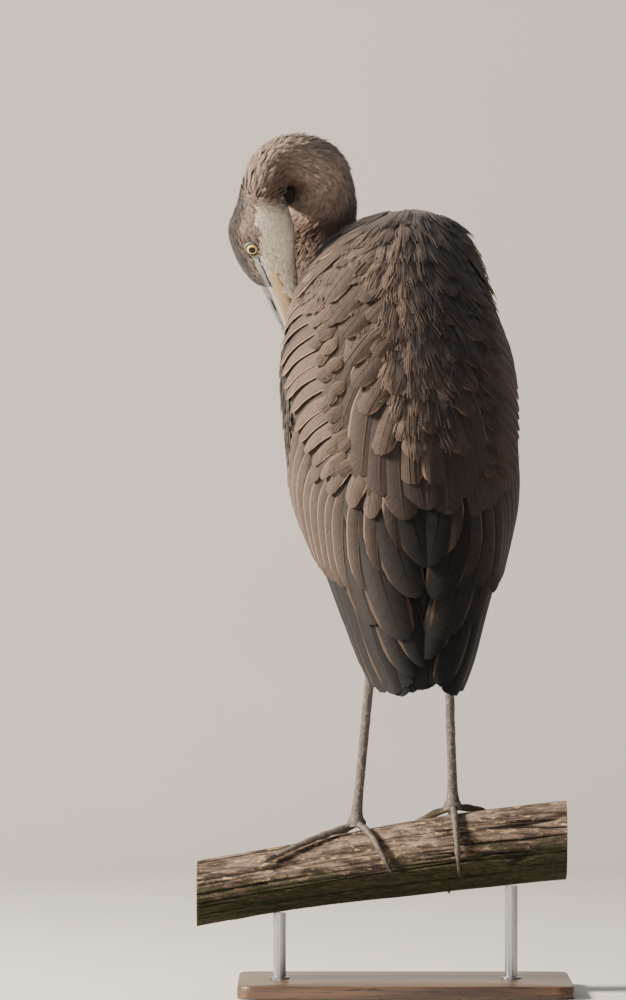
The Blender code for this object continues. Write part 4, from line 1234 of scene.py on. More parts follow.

# ------------------------------------------------------------------ tail
# Twelve broad slate quills fanned a little under the folded wings, the middle pair on top.

flight_coat = barb_surface(
    "flight_coat", rough=0.52, shaft=0.75, streak=0.26, relief=0.3, edge=0.95, side_rim=0.6,
    sheen=0.02)
tail_share = np.linspace(-1, 1, 12)
tail_tip = -0.300 + 0.010 * tail_share ** 2 - 0.006 * (tail_share < -0.5)
tail_root_angle = np.radians(-4 + 12 * tail_share)
tail_end_angle = np.radians(-5 + 27 * tail_share)
tail_long = 0.150 - 0.004 * np.abs(tail_share)
tail_way = (tail_end_angle - tail_root_angle) * 0.055 / tail_long
tail_sheet = plumes(
    body_point, tail_tip + tail_long, tail_root_angle, tail_way, tail_long, 0.0125,
    low=-0.0165 - 0.0012 * np.abs(tail_share) * 2, high=-0.0150 - 0.0014 * np.abs(tail_share) * 2,
    cup=0.10, tilt=0.10 * np.sign(tail_share), bundles=10, rows=16, ragged=0.004, split=0.0,
    narrow=0.55, stray=0.0002, seed=41)
tail_tone = varied(colours((38, 37, 37))[0], 0.06, 12, 42)
coat_object(
    "tail_quills", [(tail_sheet, tail_tone, colours((86, 78, 72))[0], 0.5)], flight_coat,
    "plumage_flight", ["tail"], BODY_CHART)

# ------------------------------------------------------------------ flight feathers of the wings
# The folded primaries lie lowest, dark and narrow, along the wing's outer edge to its tip; the
# secondaries fan over them, and the broad tertials close the wing above, edged with buff.


def fan(count, roots, tips, wide, low, high, seed, side, tilt=-0.12, bow=0.0, arc=0.0, split=0.0,
        stray=0.0, **shape):
    """A row of feathers between two lines of (place, length, angle in degrees).

    roots and tips give root and tip by place along the row; wide (the half width), low and high
    are one number each, or go by place too. The right wing mirrors the left. tilt is raised
    towards the wing's outer edge. arc is the bend of a feather whose tip still ends on its place.
    """
    place = np.linspace(0, 1, count)
    dice = np.random.default_rng(seed)
    start, end = through(roots, place), through(tips, place)
    start = start + dice.normal(0, 1, start.shape) * [0.002, 0.5]
    end = end + dice.normal(0, 1, end.shape) * [0.0022, 0.6]
    metres = body_around((start[:, 0] + end[:, 0]) / 2)
    run_down = start[:, 0] - end[:, 0]
    run_aside = np.radians(end[:, 1] - start[:, 1]) * metres
    long = np.hypot(run_down, run_aside)
    way = np.arctan2(run_aside, run_down) - math.atan(arc)
    long = long * math.cos(math.atan(arc))
    half, lows, highs = (
        through(table, place)[..., 0] if isinstance(table, list) else np.full(count, table)
        for table in (wide, low, high))  # one number, or a table by place
    return plumes(
        body_point, start[:, 0], side * np.radians(start[:, 1]), side * way, long, half, low=lows,
        high=highs, bow=side * (bow + arc), tilt=-side * tilt, split=split, stray=stray, seed=seed,
        **shape)


WING_SIDES = (("left", -1, 0), ("right", 1, 500))  # name, side, and what its seeds climb by
slate, slate_brown, brown, taupe, buff, pale = colours(
    (28, 30, 32), (34, 33, 32), (64, 53, 47), (91, 75, 64), (168, 136, 110), (196, 176, 158))
for wing_name, side, own in WING_SIDES:
    sheets = []
    primaries = fan(
        10, [(0, -0.02, 99), (1, -0.05, 84)], [(0, -0.262, 92), (0.4, -0.292, 80),
        (1, -0.3045, 58)], [(0, 0.0085), (1, 0.0135)], [(0, -0.012), (1, -0.0115)],
        [(0, -0.0072), (1, -0.0062)], 51 + own, side, tilt=-0.10, bow=-0.02, bundles=8, rows=24,
        cup=0.12, ragged=0.004, narrow=0.6)
    sheets.append((primaries, varied(slate, 0.05, 10, 52 + own), slate * 1.9, 0.35))
    secondaries = fan(
        8, [(0, 0.00, 90), (1, 0.00, 28)], [(0, -0.215, 92), (0.22, -0.255, 87), (0.40, -0.285, 78),
        (0.62, -0.301, 60), (0.82, -0.300, 36), (1, -0.276, 14)], [(0, 0.0105), (0.4, 0.0160),
        (1, 0.0190)], [(0, -0.0095), (1, -0.0105)], [(0, -0.0042), (1, -0.0038)], 53 + own, side,
        tilt=-0.18, bow=-0.02, arc=-0.14, bundles=12, rows=28, cup=0.18, ragged=0.006, narrow=0.5,
        tip=2.0)
    tone = between(np.linspace(0, 1, 8), slate * 1.05, slate_brown)
    sheets.append((secondaries, varied(tone, 0.05, 8, 54 + own), buff * 0.38, 0.32))
    tertials = fan(
        4, [(0, 0.02, 44), (1, 0.00, 12)], [(0, -0.232, 48), (0.35, -0.252, 25 - 3 * side),
        (0.7, -0.204, 14), (1, -0.178, 4)], [(0, 0.0215), (0.5, 0.0235), (1, 0.0225)],
        [(0, -0.0075), (1, -0.0070)], [(0, -0.0016), (1, -0.0010)], 55 + own, side, tilt=-0.12,
        bow=-0.02, arc=-0.12, bundles=12, rows=26, cup=0.12, ragged=0.008, narrow=0.5, tip=1.9)
    sheets.append(
        (tertials, varied(colours((40, 37, 35))[0], 0.06, 4, 56 + own), buff * 0.38, 0.32))
    coat_object(
        "flight_feathers_" + wing_name, sheets, flight_coat, "plumage_flight",
        ["wing_" + wing_name], BODY_CHART)

# ------------------------------------------------------------------ coverts of the wings
# Rows of coverts over the quills' roots: long parallel greater coverts that end in a stepped row,
# curved scale-like median coverts with dark gaps, small lesser coverts, and the bend's fine edging.
# Darker under-rows paint the shade in the gaps between coverts.

covert_coat = barb_surface(
    "covert_coat", rough=0.66, shade=0.50, shaft=0.36, streak=0.38, relief=0.65, edge=0.88,
    side_rim=0.8)
for wing_name, side, own in WING_SIDES:
    # Painted shade: the right wing's coverts are darker, on the side away from the key lamp.
    shaded = 1.0 if side < 0 else 0.72
    sheets = []
    greater_roots = [
        (0, 0.092, 96), (0.14, 0.066, 86), (0.25, 0.036, 75), (0.4, -0.016, 62), (0.55, -0.044, 51),
        (0.7, -0.066, 42), (0.82, -0.078, 36), (0.92, -0.080, 20), (1, -0.070, 7)]
    greater_tips = [
        (0, -0.052, 101), (0.14, -0.076, 98), (0.25, -0.102, 95), (0.4, -0.132, 90),
        (0.55, -0.157, 81), (0.7, -0.180, 69), (0.82, -0.190, 56), (0.92, -0.184, 34),
        (1, -0.158, 15)]
    greater = fan(
        16, greater_roots, greater_tips, [(0, 0.0135), (0.5, 0.0140), (0.85, 0.0160), (1, 0.0205)],
        [(0, -0.0060), (1, -0.0065)], [(0, 0.0016), (0.4, 0.0004), (1, -0.0008)], 61 + own, side,
        tilt=-0.30, arc=-0.40, bundles=10, rows=26, cup=0.24, ragged=0.008, narrow=0.6, tip=1.8)
    tone = between(climb(np.linspace(0, 1, 16), 0.40, 1.0), taupe * 0.74 * shaded, taupe * 0.30)
    sheets.append(
        (greater, varied(tone, 0.05, 16, 62 + own), between(climb(np.linspace(0, 1, 16), 0.2, 0.8),
        pale * 0.85, buff * 0.7) * shaded, 0.75))
    lean = 0.24 if side < 0 else 0.06
    # A dark under-row below the coverts: painted shade in the gaps between them.
    inner = fan(
        7, [(0, 0.110, 34), (1, -0.010, 16)], [(0, 0.045, 50), (0.5, -0.025, 47), (1, -0.095, 32)],
        0.0150, -0.0060, -0.0026, 58 + own, side, tilt=-0.05, bow=-0.05, bundles=9, rows=12,
        cup=0.14, ragged=0.02, narrow=0.7, tip=1.2)
    sheets.append((inner, np.broadcast_to(taupe * 0.42, (7, 3)), taupe * 0.6, 0.3))
    for row_number, (row_roots, row_tips, row_count, row_wide, row_lift) in enumerate((
        ([(0, -0.018, 34), (1, -0.070, 20)],
         [(0, -0.068, 64), (0.5, -0.094, 50), (1, -0.118, 34)], 4, 0.0185, -0.0002),
        ([(0, 0.176, 58), (0.2, 0.140, 48), (0.4, 0.094, 42), (0.6, 0.048, 38), (0.8, 0.002, 37),
          (1, -0.040, 35)],
         [(0, 0.152, 99), (0.2, 0.120, 94), (0.4, 0.072, 84), (0.6, 0.026, 77), (0.8, -0.020, 70),
          (1, -0.066, 56)],
         15, 0.0112, 0.0016),
    )):
        row_count = row_count + (4 if side > 0 else 0)
        median = fan(
            row_count, row_roots, row_tips, [(0, row_wide * 0.9), (1, row_wide)], -0.0060, row_lift,
            63 + row_number + own, side, tilt=lean, arc=-0.42, bundles=9, rows=18, cup=0.22,
            ragged=0.012, narrow=0.60, curl=0.10, tip=1.6)
        if row_number:
            # A darker under-row below the median coverts: painted shade in the gaps between the
            # bands.
            below = fan(
                2 * row_count - 1, row_roots, row_tips, [(0, 0.0120), (1, 0.0130)], -0.0064,
                -0.0034, 77 + own, side, tilt=0.05, arc=-0.42, bundles=7, rows=12, cup=0.12,
                ragged=0.012, narrow=0.95, tip=1.6)
            sheets.append(
                (below, np.broadcast_to(taupe * shaded * 0.36, (2 * row_count - 1, 3)), taupe * 0.5,
                0.3))
        tone = taupe * shaded * (0.74 + 0.28 * row_number)
        sheets.append(
            (median, varied(tone, 0.12, row_count, 65 + row_number + own), buff * 1.1, 0.75))
    lesser_length, lesser_angle = tract(
        (-0.055, 0.186), (math.radians(32), math.radians(100)), 0.0120, 0.0115, body_around,
        67 + own)
    lesser_inner = through(
        [(-0.06, 32), (0.08, 36), (0.14, 40), (0.186, 54)], lesser_length)[..., 0]
    lesser_outer = lesser_inner + through(
        [(-0.06, 9), (0.10, 9), (0.135, 14), (0.165, 34), (0.19, 40)], lesser_length)[..., 0]
    keep = (np.degrees(lesser_angle) > lesser_inner) & (np.degrees(lesser_angle) < lesser_outer)
    lesser_length, lesser_angle = lesser_length[keep], lesser_angle[keep]
    lesser_dice = np.random.default_rng(68 + own)
    lesser_way = side * (0.8 + lesser_dice.normal(0, 0.22, lesser_length.size))
    lesser_long = 0.025 + lesser_dice.normal(0, 0.003, lesser_length.size)
    lesser = plumes(
        body_point, lesser_length, side * lesser_angle, lesser_way, lesser_long, 0.0076, low=-0.004,
        high=0.0016, cup=0.18, bundles=8, rows=9, ragged=0.05, split=0.12, stray=0.0003,
        seed=69 + own)
    tone = taupe * shaded * (0.9 + lesser_dice.normal(0, 0.16, (lesser_length.size, 1)))
    sheets.append((lesser, tone, buff * 0.95, 0.5))
    edge_length, edge_angle = tract(
        (-0.13, 0.178), (math.radians(72), math.radians(122)), 0.0105, 0.0070, body_around,
        71 + own)
    edge_outer = through(
        [(-0.15, 101), (-0.06, 110), (0.0, 116), (0.08, 121), (0.13, 120), (0.165, 106),
        (0.186, 86)], edge_length)[..., 0]
    edge_width = through(
        [(-0.15, 10), (-0.03, 18), (0.03, 38), (0.13, 40), (0.186, 20)], edge_length)[..., 0]
    keep = (np.degrees(edge_angle) < edge_outer) & (edge_length > -0.030)
    keep &= np.degrees(edge_angle) > edge_outer - edge_width
    edge_length, edge_angle = edge_length[keep], edge_angle[keep]
    edge_dice = np.random.default_rng(72 + own)
    edge_way = -side * (0.10 + edge_dice.normal(0, 0.08, edge_length.size))
    edging = plumes(
        body_point, edge_length, side * edge_angle, edge_way, 0.026, 0.0055, low=-0.0045,
        high=-0.0014, cup=0.2, bundles=5, rows=7, ragged=0.08, split=0.3, seed=73 + own)
    tone = between(
        climb(edge_length, -0.02, 0.08), colours((46, 40, 37))[0], colours((62, 55, 51))[0])
    sheets.append((edging, varied(tone, 0.08, edge_length.size, edge_dice), buff * 0.8, 0.3))
    coat_object(
        "coverts_" + wing_name, sheets, covert_coat, "plumage_wing", ["wing_" + wing_name],
        BODY_CHART)

# ------------------------------------------------------------------ back
# Small soft mantle feathers with hair-like ends in rows over the shoulders, larger rounded
# scapulars fanned over the wings' inner edges, and long thin plumes down the middle.

back_coat = barb_surface("back_coat", rough=0.72, shaft=0.30, streak=0.40)
mantle_length, mantle_angle = tract(
    (0.035, 0.253), (math.radians(-108), math.radians(108)), 0.0115, 0.0125, body_around, 81)
mantle_reach = through(
    [(0.03, 22), (0.09, 30), (0.15, 42), (0.19, 86), (0.22, 112), (0.258, 120)], mantle_length)
keep = np.abs(np.degrees(mantle_angle)) < mantle_reach[..., 0]
mantle_length, mantle_angle = mantle_length[keep], mantle_angle[keep]
mantle_dice = np.random.default_rng(82)
mantle_way = 0.35 * np.sin(mantle_angle) + mantle_dice.normal(0, 0.12, mantle_length.size)
mantle_long = 0.030 + mantle_dice.normal(0, 0.003, mantle_length.size)
mantle = plumes(
    body_point, mantle_length, mantle_angle, mantle_way, mantle_long, 0.0100, low=-0.006,
    high=0.0012, cup=0.16, bundles=10, rows=8, ragged=0.14, split=0.28, stray=0.0003, seed=83)
mantle_tone = body_colour(mantle_length, mantle_angle * 0.4)
# Painted light: a warmer, lighter tone on the left of the shoulders' top, facing the key lamp.
mantle_painted_light = climb(-np.degrees(mantle_angle), -14, 6) * climb(-mantle_length, -0.225, -0.19)
mantle_tone = between(0.4 * mantle_painted_light, mantle_tone, colours((106, 90, 79))[0])
mantle_tone = varied(mantle_tone, 0.10, mantle_length.size, mantle_dice)
back_sheets = [(mantle, mantle_tone, mantle_tone * 1.35, 0.5)]
long_sheets = []
for _, side, own in WING_SIDES:
    long_scapular = fan(
        4, [(0, 0.045, 20), (0.5, 0.010, 12), (1, -0.010, 4)], [(0, -0.070, 36), (0.35, -0.096, 28),
        (0.7, -0.124, 17), (1, -0.116, 5)], [(0, 0.0210), (1, 0.0245)], -0.0040,
        [(0, -0.0002), (1, 0.0004)], 84 + own, side, tilt=-0.08, bow=-0.08, bundles=12, rows=20,
        cup=0.16, ragged=0.012, narrow=0.5, tip=1.9)
    tone = between(np.linspace(0, 1, 4), brown, brown * 0.62)
    long_sheets.append((long_scapular, tone, buff * 0.8, 0.7))
    for row_number, (row_roots, row_tips, row_count, row_wide, row_lift) in enumerate((
        ([(0, 0.186, 22), (0.45, 0.105, 8), (1, 0.020, 2)],
         [(0, 0.140, 58), (0.22, 0.104, 47), (0.45, 0.058, 41), (0.7, 0.004, 37),
          (0.86, -0.045, 31), (1, -0.086, 16)],
         8, 0.0185, 0.0024),
        ([(0, 0.200, 12), (0.5, 0.120, 3), (1, 0.040, 0)],
         [(0, 0.160, 40), (0.35, 0.110, 29), (0.7, 0.040, 24), (1, -0.030, 13)], 6, 0.0170, 0.0036),
    )):
        scapular = fan(
            row_count, row_roots, row_tips, [(0, row_wide * 0.85), (1, row_wide)], -0.0030,
            row_lift, 85 + row_number + own, side, tilt=0.20, bow=-0.16, bundles=14, rows=16,
            cup=0.26, ragged=0.025, split=0.03, narrow=0.45, stray=0.0003, tip=1.7)
        tone = between(0.5 + 0 * np.arange(row_count), brown, taupe * 0.8)
        tone = varied(tone, 0.15, row_count, 88 + row_number + own)
        back_sheets.append((scapular, tone * 0.92, buff * 0.85, 0.60))
    shoulder = fan(
        8, [(0, 0.250, -6), (0.5, 0.228, 20), (1, 0.202, 36)], [(0, 0.234, 48), (0.5, 0.199, 90),
        (1, 0.164, 88)], [(0, 0.0095), (1, 0.0115)], [(0, -0.0040), (1, -0.0020)],
        [(0, 0.0012), (0.4, 0.0034), (1, 0.0040)], 400 + 60 * side, side, tilt=0.30, bow=-0.16,
        bundles=11, rows=18, cup=0.30, ragged=0.05, split=0.12, narrow=0.4, stray=0.0003, tip=1.9)
    tone = between(0.5 + 0 * np.arange(8), brown, taupe)
    tone = varied(tone, 0.08, 8, 91 + own)
    back_sheets.append((shoulder, tone, buff * 1.05, 0.7))
centre_length, centre_angle = tract(
    (-0.030, 0.249), (math.radians(-70), math.radians(70)), 0.0122, 0.0110, body_around, 93,
    stray=0.30)
centre_reach = through(
    [(-0.04, 10), (0.05, 15), (0.12, 18), (0.17, 22), (0.21, 36), (0.24, 62), (0.265, 75)],
    centre_length)[..., 0]
keep = np.abs(np.degrees(centre_angle) - 3) < centre_reach
centre_length, centre_angle = centre_length[keep], centre_angle[keep]
centre_dice = np.random.default_rng(94)
centre_way = 1.1 * (centre_angle - 0.05) + centre_dice.normal(0, 0.20, centre_length.size)
centre_long = 0.032 + centre_dice.normal(0, 0.004, centre_length.size)
centre_high = 0.0044 + 0.0006 * centre_dice.random(centre_length.size)
centre = plumes(
    body_point, centre_length, centre_angle, centre_way, centre_long, 0.0105, low=-0.001,
    high=centre_high, cup=0.20, bundles=11, rows=9, ragged=0.30, split=0.50, stray=0.0009,
    narrow=0.4, seed=97)
centre_tone = body_colour(centre_length, centre_angle * 0.5)
# Painted light: a warmer, lighter tone on the left of the shoulders' top, facing the key lamp.
centre_painted_light = climb(-np.degrees(centre_angle), -8, 6) * climb(-centre_length, -0.235, -0.20)
centre_tone = between(0.65 * centre_painted_light, centre_tone, colours((126, 106, 92))[0])
centre_tone = varied(0.80 * centre_tone, 0.12, centre_length.size, centre_dice)
back_sheets.append((centre, centre_tone, centre_tone * 1.5, 0.5))
plume_dice = np.random.default_rng(95)
plume_count = 34
plume_length = 0.02 + 0.17 * plume_dice.random(plume_count)
plume_angle = np.radians(plume_dice.normal(5, 9, plume_count))
centre_plumes = plumes(
    body_point, plume_length, plume_angle, plume_dice.normal(0.0, 0.15, plume_count),
    0.046 + 0.02 * plume_dice.random(plume_count), 0.0035, low=-0.001, high=0.0052, cup=0.1,
    bundles=4, rows=9, ragged=0.30, split=0.75, stray=0.0010, seed=96)
plume_tone = varied(colours((70, 63, 60))[0], 0.15, plume_count, plume_dice)
back_sheets.append((centre_plumes, plume_tone, plume_tone * 1.4, 0.4))
coat_object("back_feathers", back_sheets, back_coat, "plumage_back", ["trunk"], BODY_CHART)
coat_object("long_scapulars", long_sheets, covert_coat, "plumage_back", ["trunk"], BODY_CHART)

# ------------------------------------------------------------------ neck feathers
# Short soft feathers all round the neck, laid from head to shoulders: grey-brown behind, rufous at
# the sides, and white with dark streaks down the front, where they grow longer over the breast.

neck_coat = barb_surface("neck_coat", rough=0.80, shaft=0.0, streak=0.35, shade=0.16)
NECK_CHART = (0.0, HEAD_LENGTH)


def neck_around(length):
    row = through(NECK_ROWS, length)
    return 0.5 * (row[..., 9] + row[..., 10])


neck_sheets = []
for neck_low, neck_high, row_step, side_step, tuft_wide, tuft_bundles, neck_seed in (
    (0.030, 0.24, 0.0052, 0.0040, 0.0031, 4, 101),
    (0.24, NAPE_LENGTH + 0.004, 0.0031, 0.0023, 0.0025, 3, 103),
):
    tuft_length, tuft_angle = tract(
        (neck_low, neck_high), (-math.pi, math.pi), row_step, side_step, neck_around, neck_seed,
        stray=0.30)
    tuft_dice = np.random.default_rng(neck_seed + 1)
    share = tuft_length / NAPE_LENGTH
    front = climb(np.abs(tuft_angle), 2.0, 2.7)
    size = 1.0 - 0.38 * climb(share, 0.35, 1.0) + 0.5 * front * climb(-share, -0.5, -0.1)
    spot = np.stack([tuft_length * 22, np.cos(tuft_angle) * 1.4, np.sin(tuft_angle) * 1.4], -1)
    swirl = rumple(spot, neck_seed + 2)
    fold = climb(share, 0.52, 0.62) * climb(-share, -1.05, -0.97)
    fold = fold * climb(np.abs(tuft_angle), 1.9, 2.6)
    nape = climb(share, 0.66, 0.80) * climb(-np.abs(tuft_angle), -2.0, -1.0)
    loose = (tuft_dice.random(tuft_length.size) > 0.965) * (0.4 + 0.6 * nape)
    tuft_way = 0.17 * swirl + tuft_dice.normal(0, 0.22, tuft_length.size)
    tuft_long = (0.0145 + tuft_dice.normal(0, 0.0018, tuft_length.size)) * size
    tuft_high = 0.0002 + 0.0010 * tuft_dice.random(tuft_length.size)
    tuft_high = tuft_high + 0.0050 * fold + 0.0028 * nape + 0.0035 * loose
    tuft = plumes(
        neck_point, tuft_length, tuft_angle, tuft_way, tuft_long, tuft_wide * size,
        low=-0.0042 + 0.004 * fold + 0.002 * nape, high=tuft_high, cup=0.12, bundles=tuft_bundles,
        rows=5, ragged=0.30, split=0.50, stray=0.0003, seed=neck_seed + 3)
    # neck_colour also paints light inside the bend and shade under the chin and in the fold.
    tone = varied(neck_colour(tuft_length, tuft_angle), 0.12, tuft_length.size, tuft_dice)
    neck_sheets.append((tuft, tone, tone * 1.4, 0.4))
for number, sheet in enumerate(neck_sheets):
    coat_object(
        "neck_feathers_%d" % (number + 1), [sheet], neck_coat, "plumage_neck", NECK_NODES,
        NECK_CHART)

# ------------------------------------------------------------------ head feathers
# Very short feathers that lie back from the bill: slate on the crown, longer at the nape, grey
# over the ear, white on cheek and chin. They leave bare the lores and the ring round each eye.

EYE_PLACE = (-0.053, 0.003, 0.0128)
EYE_RADIUS = 0.009
head_coat = barb_surface("head_coat", rough=0.80, shaft=0.0, streak=0.20, shade=0.08, relief=0.2)
face_length, face_angle = tract(
    (NAPE_LENGTH - 0.004, HEAD_LENGTH - 0.002), (-math.pi, math.pi), 0.0027, 0.0025, neck_around,
    111, stray=0.30)
face_dice = np.random.default_rng(112)
face_root = neck_point(face_length, face_angle)
face_local = (face_root - HEAD_PLACE) @ np.stack([BILL_WAY, CROWN_WAY, LEFT_WAY], 1)
face_x, face_y, face_z = face_local.T
eye_gap = np.hypot((face_x - EYE_PLACE[0]) / 1.06, face_y - EYE_PLACE[1])
bare = (eye_gap < 0.0082) & (np.abs(face_z) > 0.008)
lore_top = through(
    [(-0.060, 0.004), (-0.046, 0.0088), (-0.030, 0.0080), (-0.012, 0.0062), (0.0, 0.0085)],
    face_x)[..., 0]
lore_low = through(
    [(-0.050, -0.0006), (-0.028, -0.0016), (-0.019, -0.0026), (-0.0165, -0.0130), (0.0, -0.0138)],
    face_x)[..., 0]
on_lore = (face_x > -0.047) & (face_x < 0.004) & (np.abs(face_z) > 0.003)
bare |= on_lore & (face_y < lore_top) & (face_y > lore_low)
bare |= (face_x > -0.004) & (face_y > -0.0138)
face_length, face_angle, face_x, face_y, eye_gap = (
    field[~bare] for field in (face_length, face_angle, face_x, face_y, eye_gap))
face_share = climb(face_x, -0.105, -0.02)
crown_share = climb(face_y, 0.008, 0.018)
face_size = (1.0 - 0.48 * face_share) * (1 + 0.35 * crown_share)
face_size = face_size * (0.6 + 0.4 * climb(eye_gap, 0.009, 0.018))
face_way = face_dice.normal(0, 0.13, face_length.size)
face_long = (0.0108 + face_dice.normal(0, 0.0008, face_length.size)) * face_size
face_high = 0.0006 + 0.0008 * crown_share + 0.0005 * (1 - face_share)
face_high = face_high + 0.0020 * climb(-face_length, -NAPE_LENGTH - 0.030, -NAPE_LENGTH)
face_upper = climb(face_y, -0.004, 0.006)[:, None, None, None]
face = plumes(
    neck_point, face_length, face_angle, face_way, face_long, 0.0026 * face_size ** 0.5,
    low=-0.0002, high=face_high, cup=0.06, bundles=3, rows=4, ragged=0.10 + 0.15 * face_upper,
    split=0.05 + 0.55 * face_upper, stray=0.00015, seed=113)
face_tone = neck_colour(face_length, face_angle)
face_tone = face_tone * (
    1 + face_dice.normal(0, 1, (face_length.size, 1)) * (0.05 + 0.18 * crown_share[:, None]))
coat_object(
    "head_feathers", [(face, face_tone, face_tone * (1.35 + 0.6 * crown_share[:, None]),
    0.25 + 0.45 * crown_share)], head_coat, "plumage_head", ["head"],
    (NAPE_LENGTH - 0.02, HEAD_LENGTH))

# ------------------------------------------------------------------ eyes and lids
# Pale yellow eyes set in the sides of the head under a clear wet cornea, each inside a ring of
# bare finely folded lid that is bluish above and greenish towards the bill.

eye_glass = Surface("eye_glass", Roughness=0.12, Specular_IOR_Level=0.22, Coat_Roughness=0.02)
eye_glass.shader.inputs["Coat Weight"].default_value = 0.30
eye_map = eye_glass.uv("chart")
eye_off = eye_map.part(1)
eye_fibre = eye_map.noise((46.0, 6.0, 1.0), 3.0, 0.6)
iris_tone = eye_off.step(0.30, 0.78).mix((224, 206, 122), (208, 172, 84))
iris_tone = iris_tone.under(
    (eye_fibre.step(0.35, 0.7) * 0.4, (236, 216, 150)),
    (eye_off.step(0.66, 0.74), (150, 90, 40)))
eye_tone = eye_off.step(0.445, 0.420).mix(iris_tone, (4, 4, 5))
eye_glass.feed(Base_Color=eye_off.step(0.73, 0.75).mix(eye_tone, (16, 14, 14)))
lid_skin = Surface("lid_skin", Roughness=0.5, Specular_IOR_Level=0.45)
lid_map = lid_skin.uv("chart")
lid_fold = lid_map.noise((9.0, 26.0, 1.0), 3.0, 0.6)
lid_turn = (lid_map.part(0) * 6.2832).unary("COSINE")
lid_tone = lid_turn.step(-0.3, -0.9).mix((62, 62, 56), (84, 92, 94))
lid_tone = lid_tone.under(
    (lid_turn.step(0.5, 0.95), (118, 122, 94)),
    (lid_map.part(1).step(0.28, 0.16), (14, 12, 12)))
lid_skin.feed(Base_Color=(lid_fold.step(0.35, 0.7) * 0.35).mix(lid_tone, (96, 98, 98)))
lid_skin.bump(lid_fold, 0.5, 0.0004)
for eye_name, side in (("eye_left", 1), ("eye_right", -1)):
    centre = head_point(EYE_PLACE[0], EYE_PLACE[1], side * EYE_PLACE[2])
    gaze = unit(LEFT_WAY * side + BILL_WAY * 0.10 + CROWN_WAY * 0.02)
    ahead = unit(BILL_WAY - gaze * (BILL_WAY @ gaze))
    above = np.cross(gaze, ahead) * side
    off = np.concatenate([np.linspace(0, 1.2, 50), np.linspace(1.3, math.pi, 12)])[:, None]
    turn = np.linspace(0, 2 * math.pi, 65)[None, :]
    bulge = EYE_RADIUS * (1 + 0.035 * climb(-off, -0.75, -0.2))
    outward = (bulge * np.cos(off) + 0 * turn)[..., None]
    forward = (bulge * np.sin(off) * np.cos(turn))[..., None]
    upward = (bulge * np.sin(off) * np.sin(turn))[..., None]
    ball = centre + (gaze * outward + ahead * forward + above * upward)
    table = np.stack([turn / (2 * math.pi) + 0 * off, off + 0 * turn], -1).reshape(-1, 2)
    eye = mesh_object(eye_name + "_ball", ball, grid_faces(62, 65), eye_glass, uv={"chart": table})
    tidy_skin(eye)
    mounted(eye, "eye", eye_name)
    ring_share = np.linspace(0, 1, 22)[:, None]
    profile = through(
        [(0, 0.0061, 0.0064), (0.12, 0.0065, 0.0071), (0.3, 0.0071, 0.0073), (0.55, 0.0079, 0.0067),
        (0.8, 0.0088, 0.0058), (1, 0.0099, 0.0044)], ring_share[:, 0])
    oval = 1 + 0.09 * np.cos(2 * turn) + 0.05 * np.cos(turn) ** 9
    crease = 0.00016 * np.sin(turn * 34 + 5 * np.sin(turn * 3)) * np.sin(math.pi * ring_share)
    reach = profile[:, :1] * oval
    height = profile[:, 1:] + crease - 0.0006 * (np.cos(turn) ** 2) * ring_share
    forward, upward = (reach * np.cos(turn))[..., None], (reach * np.sin(turn))[..., None]
    lid = centre + (gaze * height[..., None] + ahead * forward + above * upward)
    table = np.stack([turn / (2 * math.pi) + 0 * ring_share, ring_share + 0 * turn], -1)
    table = table.reshape(-1, 2)
    lid_faces = grid_faces(22, 65)
    lids = mesh_object(
        eye_name + "_lids", lid, lid_faces if side > 0 else lid_faces[:, ::-1], lid_skin,
        uv={"chart": table})
    mounted(lids, "plumage_head", "head")

# ------------------------------------------------------------------ bill
# Two horn mandibles that meet on a flat gape: the upper one grey with a ridge, a nostril slit in
# a long groove and a pale cutting edge, the lower one pale yellow horn, browner along its keel.

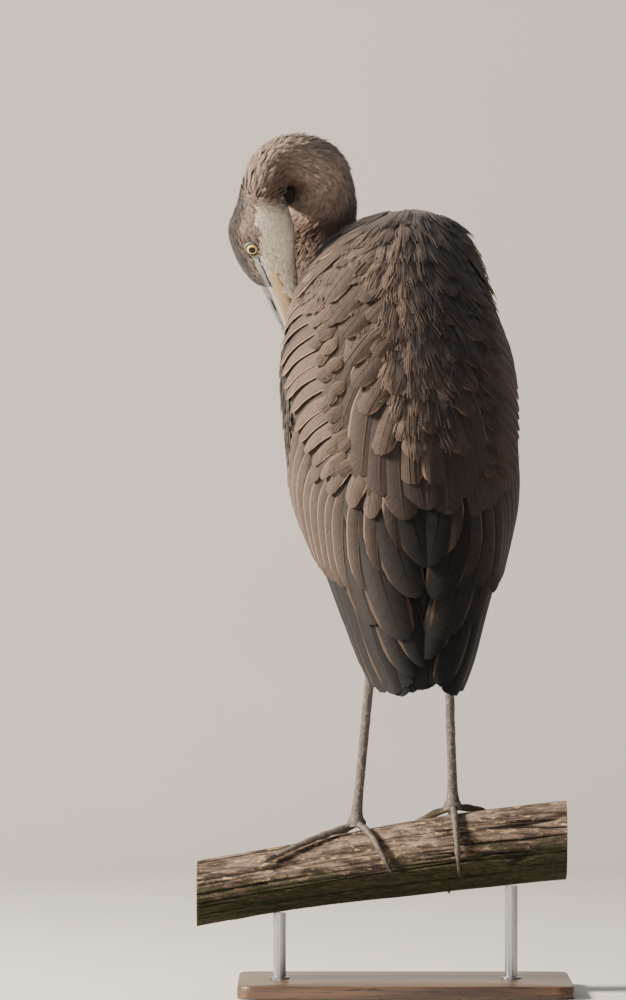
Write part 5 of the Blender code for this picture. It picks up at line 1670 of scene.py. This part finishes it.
BILL_LENGTH = 0.132
bill_horn = Surface("bill_horn", Specular_IOR_Level=0.5)
bill_coat = bill_horn.attribute("coat", 0)
bill_map = bill_horn.uv("chart")
bill_lines = bill_map.noise((30.0, 4.0, 1.0), 4.0, 0.6)
bill_scuff = bill_horn.place.noise(170.0, 4.0, 0.65)
bill_tone = bill_coat.shaded(bill_lines.step(0.35, 0.70) * 0.30, 0.55, 0.52, 0.50)
bill_tone = (bill_scuff.step(0.55, 0.75) * 0.35).mix(bill_tone, (222, 212, 194))
bill_horn.feed(Base_Color=bill_tone, Roughness=bill_scuff.step(0.3, 0.7, 0.32, 0.50))
bill_horn.bump(bill_lines * 0.6 + bill_scuff * 0.3, 0.3, 0.0004)
for bill_name, side in (("bill_upper", 1), ("bill_lower", -1)):
    along = [np.linspace(-0.020, -0.002, 10), np.linspace(0, BILL_LENGTH - 0.0004, 120)]
    along = np.concatenate(along)[:, None]
    share = np.clip(along, 0, None) / BILL_LENGTH
    arch = np.linspace(0, math.pi, 41)[None, :]
    if side > 0:
        height = 0.0130 * (1 - share) ** 0.65
    else:
        height = 0.0125 * (1 - share ** 1.8) ** 0.95
    half = 0.0095 * (1 - share) ** 0.8 + 0.0018 * climb(-along, -0.014, 0.004)
    rise = np.sin(arch)
    ridge = np.abs(np.cos(arch)) ** 1.15 * np.sign(np.cos(arch))
    groove = np.exp(-((np.abs(rise) - 0.52) / 0.13) ** 2) * climb(along, 0.004, 0.012)
    groove = groove * climb(-along, -0.085, -0.03)
    slit = np.exp(-((np.abs(rise) - 0.50) / 0.07) ** 2) * climb(along, 0.012, 0.015)
    slit = slit * climb(-along, -0.030, -0.025)
    lip = np.exp(-(rise / 0.16) ** 2)
    inward = (0.0006 * groove + 0.0012 * slit) if side > 0 else 0.0004 * groove
    wide = (half - inward * (half > 0.002)) * ridge * (1 + 0.03 * lip)
    high = height * rise * 0.995 + 0.00015
    arched = head_point(along + 0 * arch, side * high, wide)
    flat_share = np.linspace(1, -1, 9)[None, 1:-1]
    flat = head_point(
        along + 0 * flat_share, side * 0.00015 + 0 * along + 0 * flat_share, -half * flat_share)
    rows = np.concatenate([arched, flat], 1)
    points, faces = stacked(rows)
    slate_horn, pale_edge, dark_slit, yellow_horn, keel = colours(
        (92, 95, 100), (206, 194, 170), (30, 28, 28), (232, 210, 168), (176, 124, 80))
    if side > 0:
        tone = between(climb(rise + 0 * along, 0.10, 0.42), pale_edge, slate_horn)
        tone = between(climb(np.abs(rise) + 0 * along, 0.80, 0.98) * 0.5, tone, slate_horn * 0.55)
        tone = between(np.clip(slit * 1.2 + groove * 0.35, 0, 1), tone, dark_slit)
    else:
        tone = between(climb(rise + 0 * along, 0.90, 0.99), yellow_horn, keel)
        tone = between(climb(-rise + 0 * along, -0.12, -0.02) * 0.5, tone, pale_edge)
        tone = tone * (1 + 0.25 * climb(-along, -0.045, -0.012)[..., None])
    tone = between(climb(share + 0 * arch, 0.70, 1.0) * 0.5, tone, slate_horn)
    flat_tone = np.broadcast_to(colours((120, 96, 84))[0], (len(along), 7, 3))
    tone = np.concatenate([tone, flat_tone], 1).reshape(-1, 3)
    tone = np.concatenate([tone, tone[:1], tone[-1:]])
    table = np.concatenate(
        [np.stack([np.broadcast_to(np.linspace(0, 1, rows.shape[1]), rows.shape[:2]),
        np.broadcast_to(along / 0.03, rows.shape[:2])], -1).reshape(-1, 2), [[0.5, 0], [0.5, 4]]])
    bill = mesh_object(
        bill_name + "_horn", points, faces, bill_horn, uv={"chart": table},
        values={"coat": np.concatenate([tone, np.ones((len(tone), 1))], 1)})
    tidy_skin(bill, 50)
    mounted(bill, "horn", bill_name)
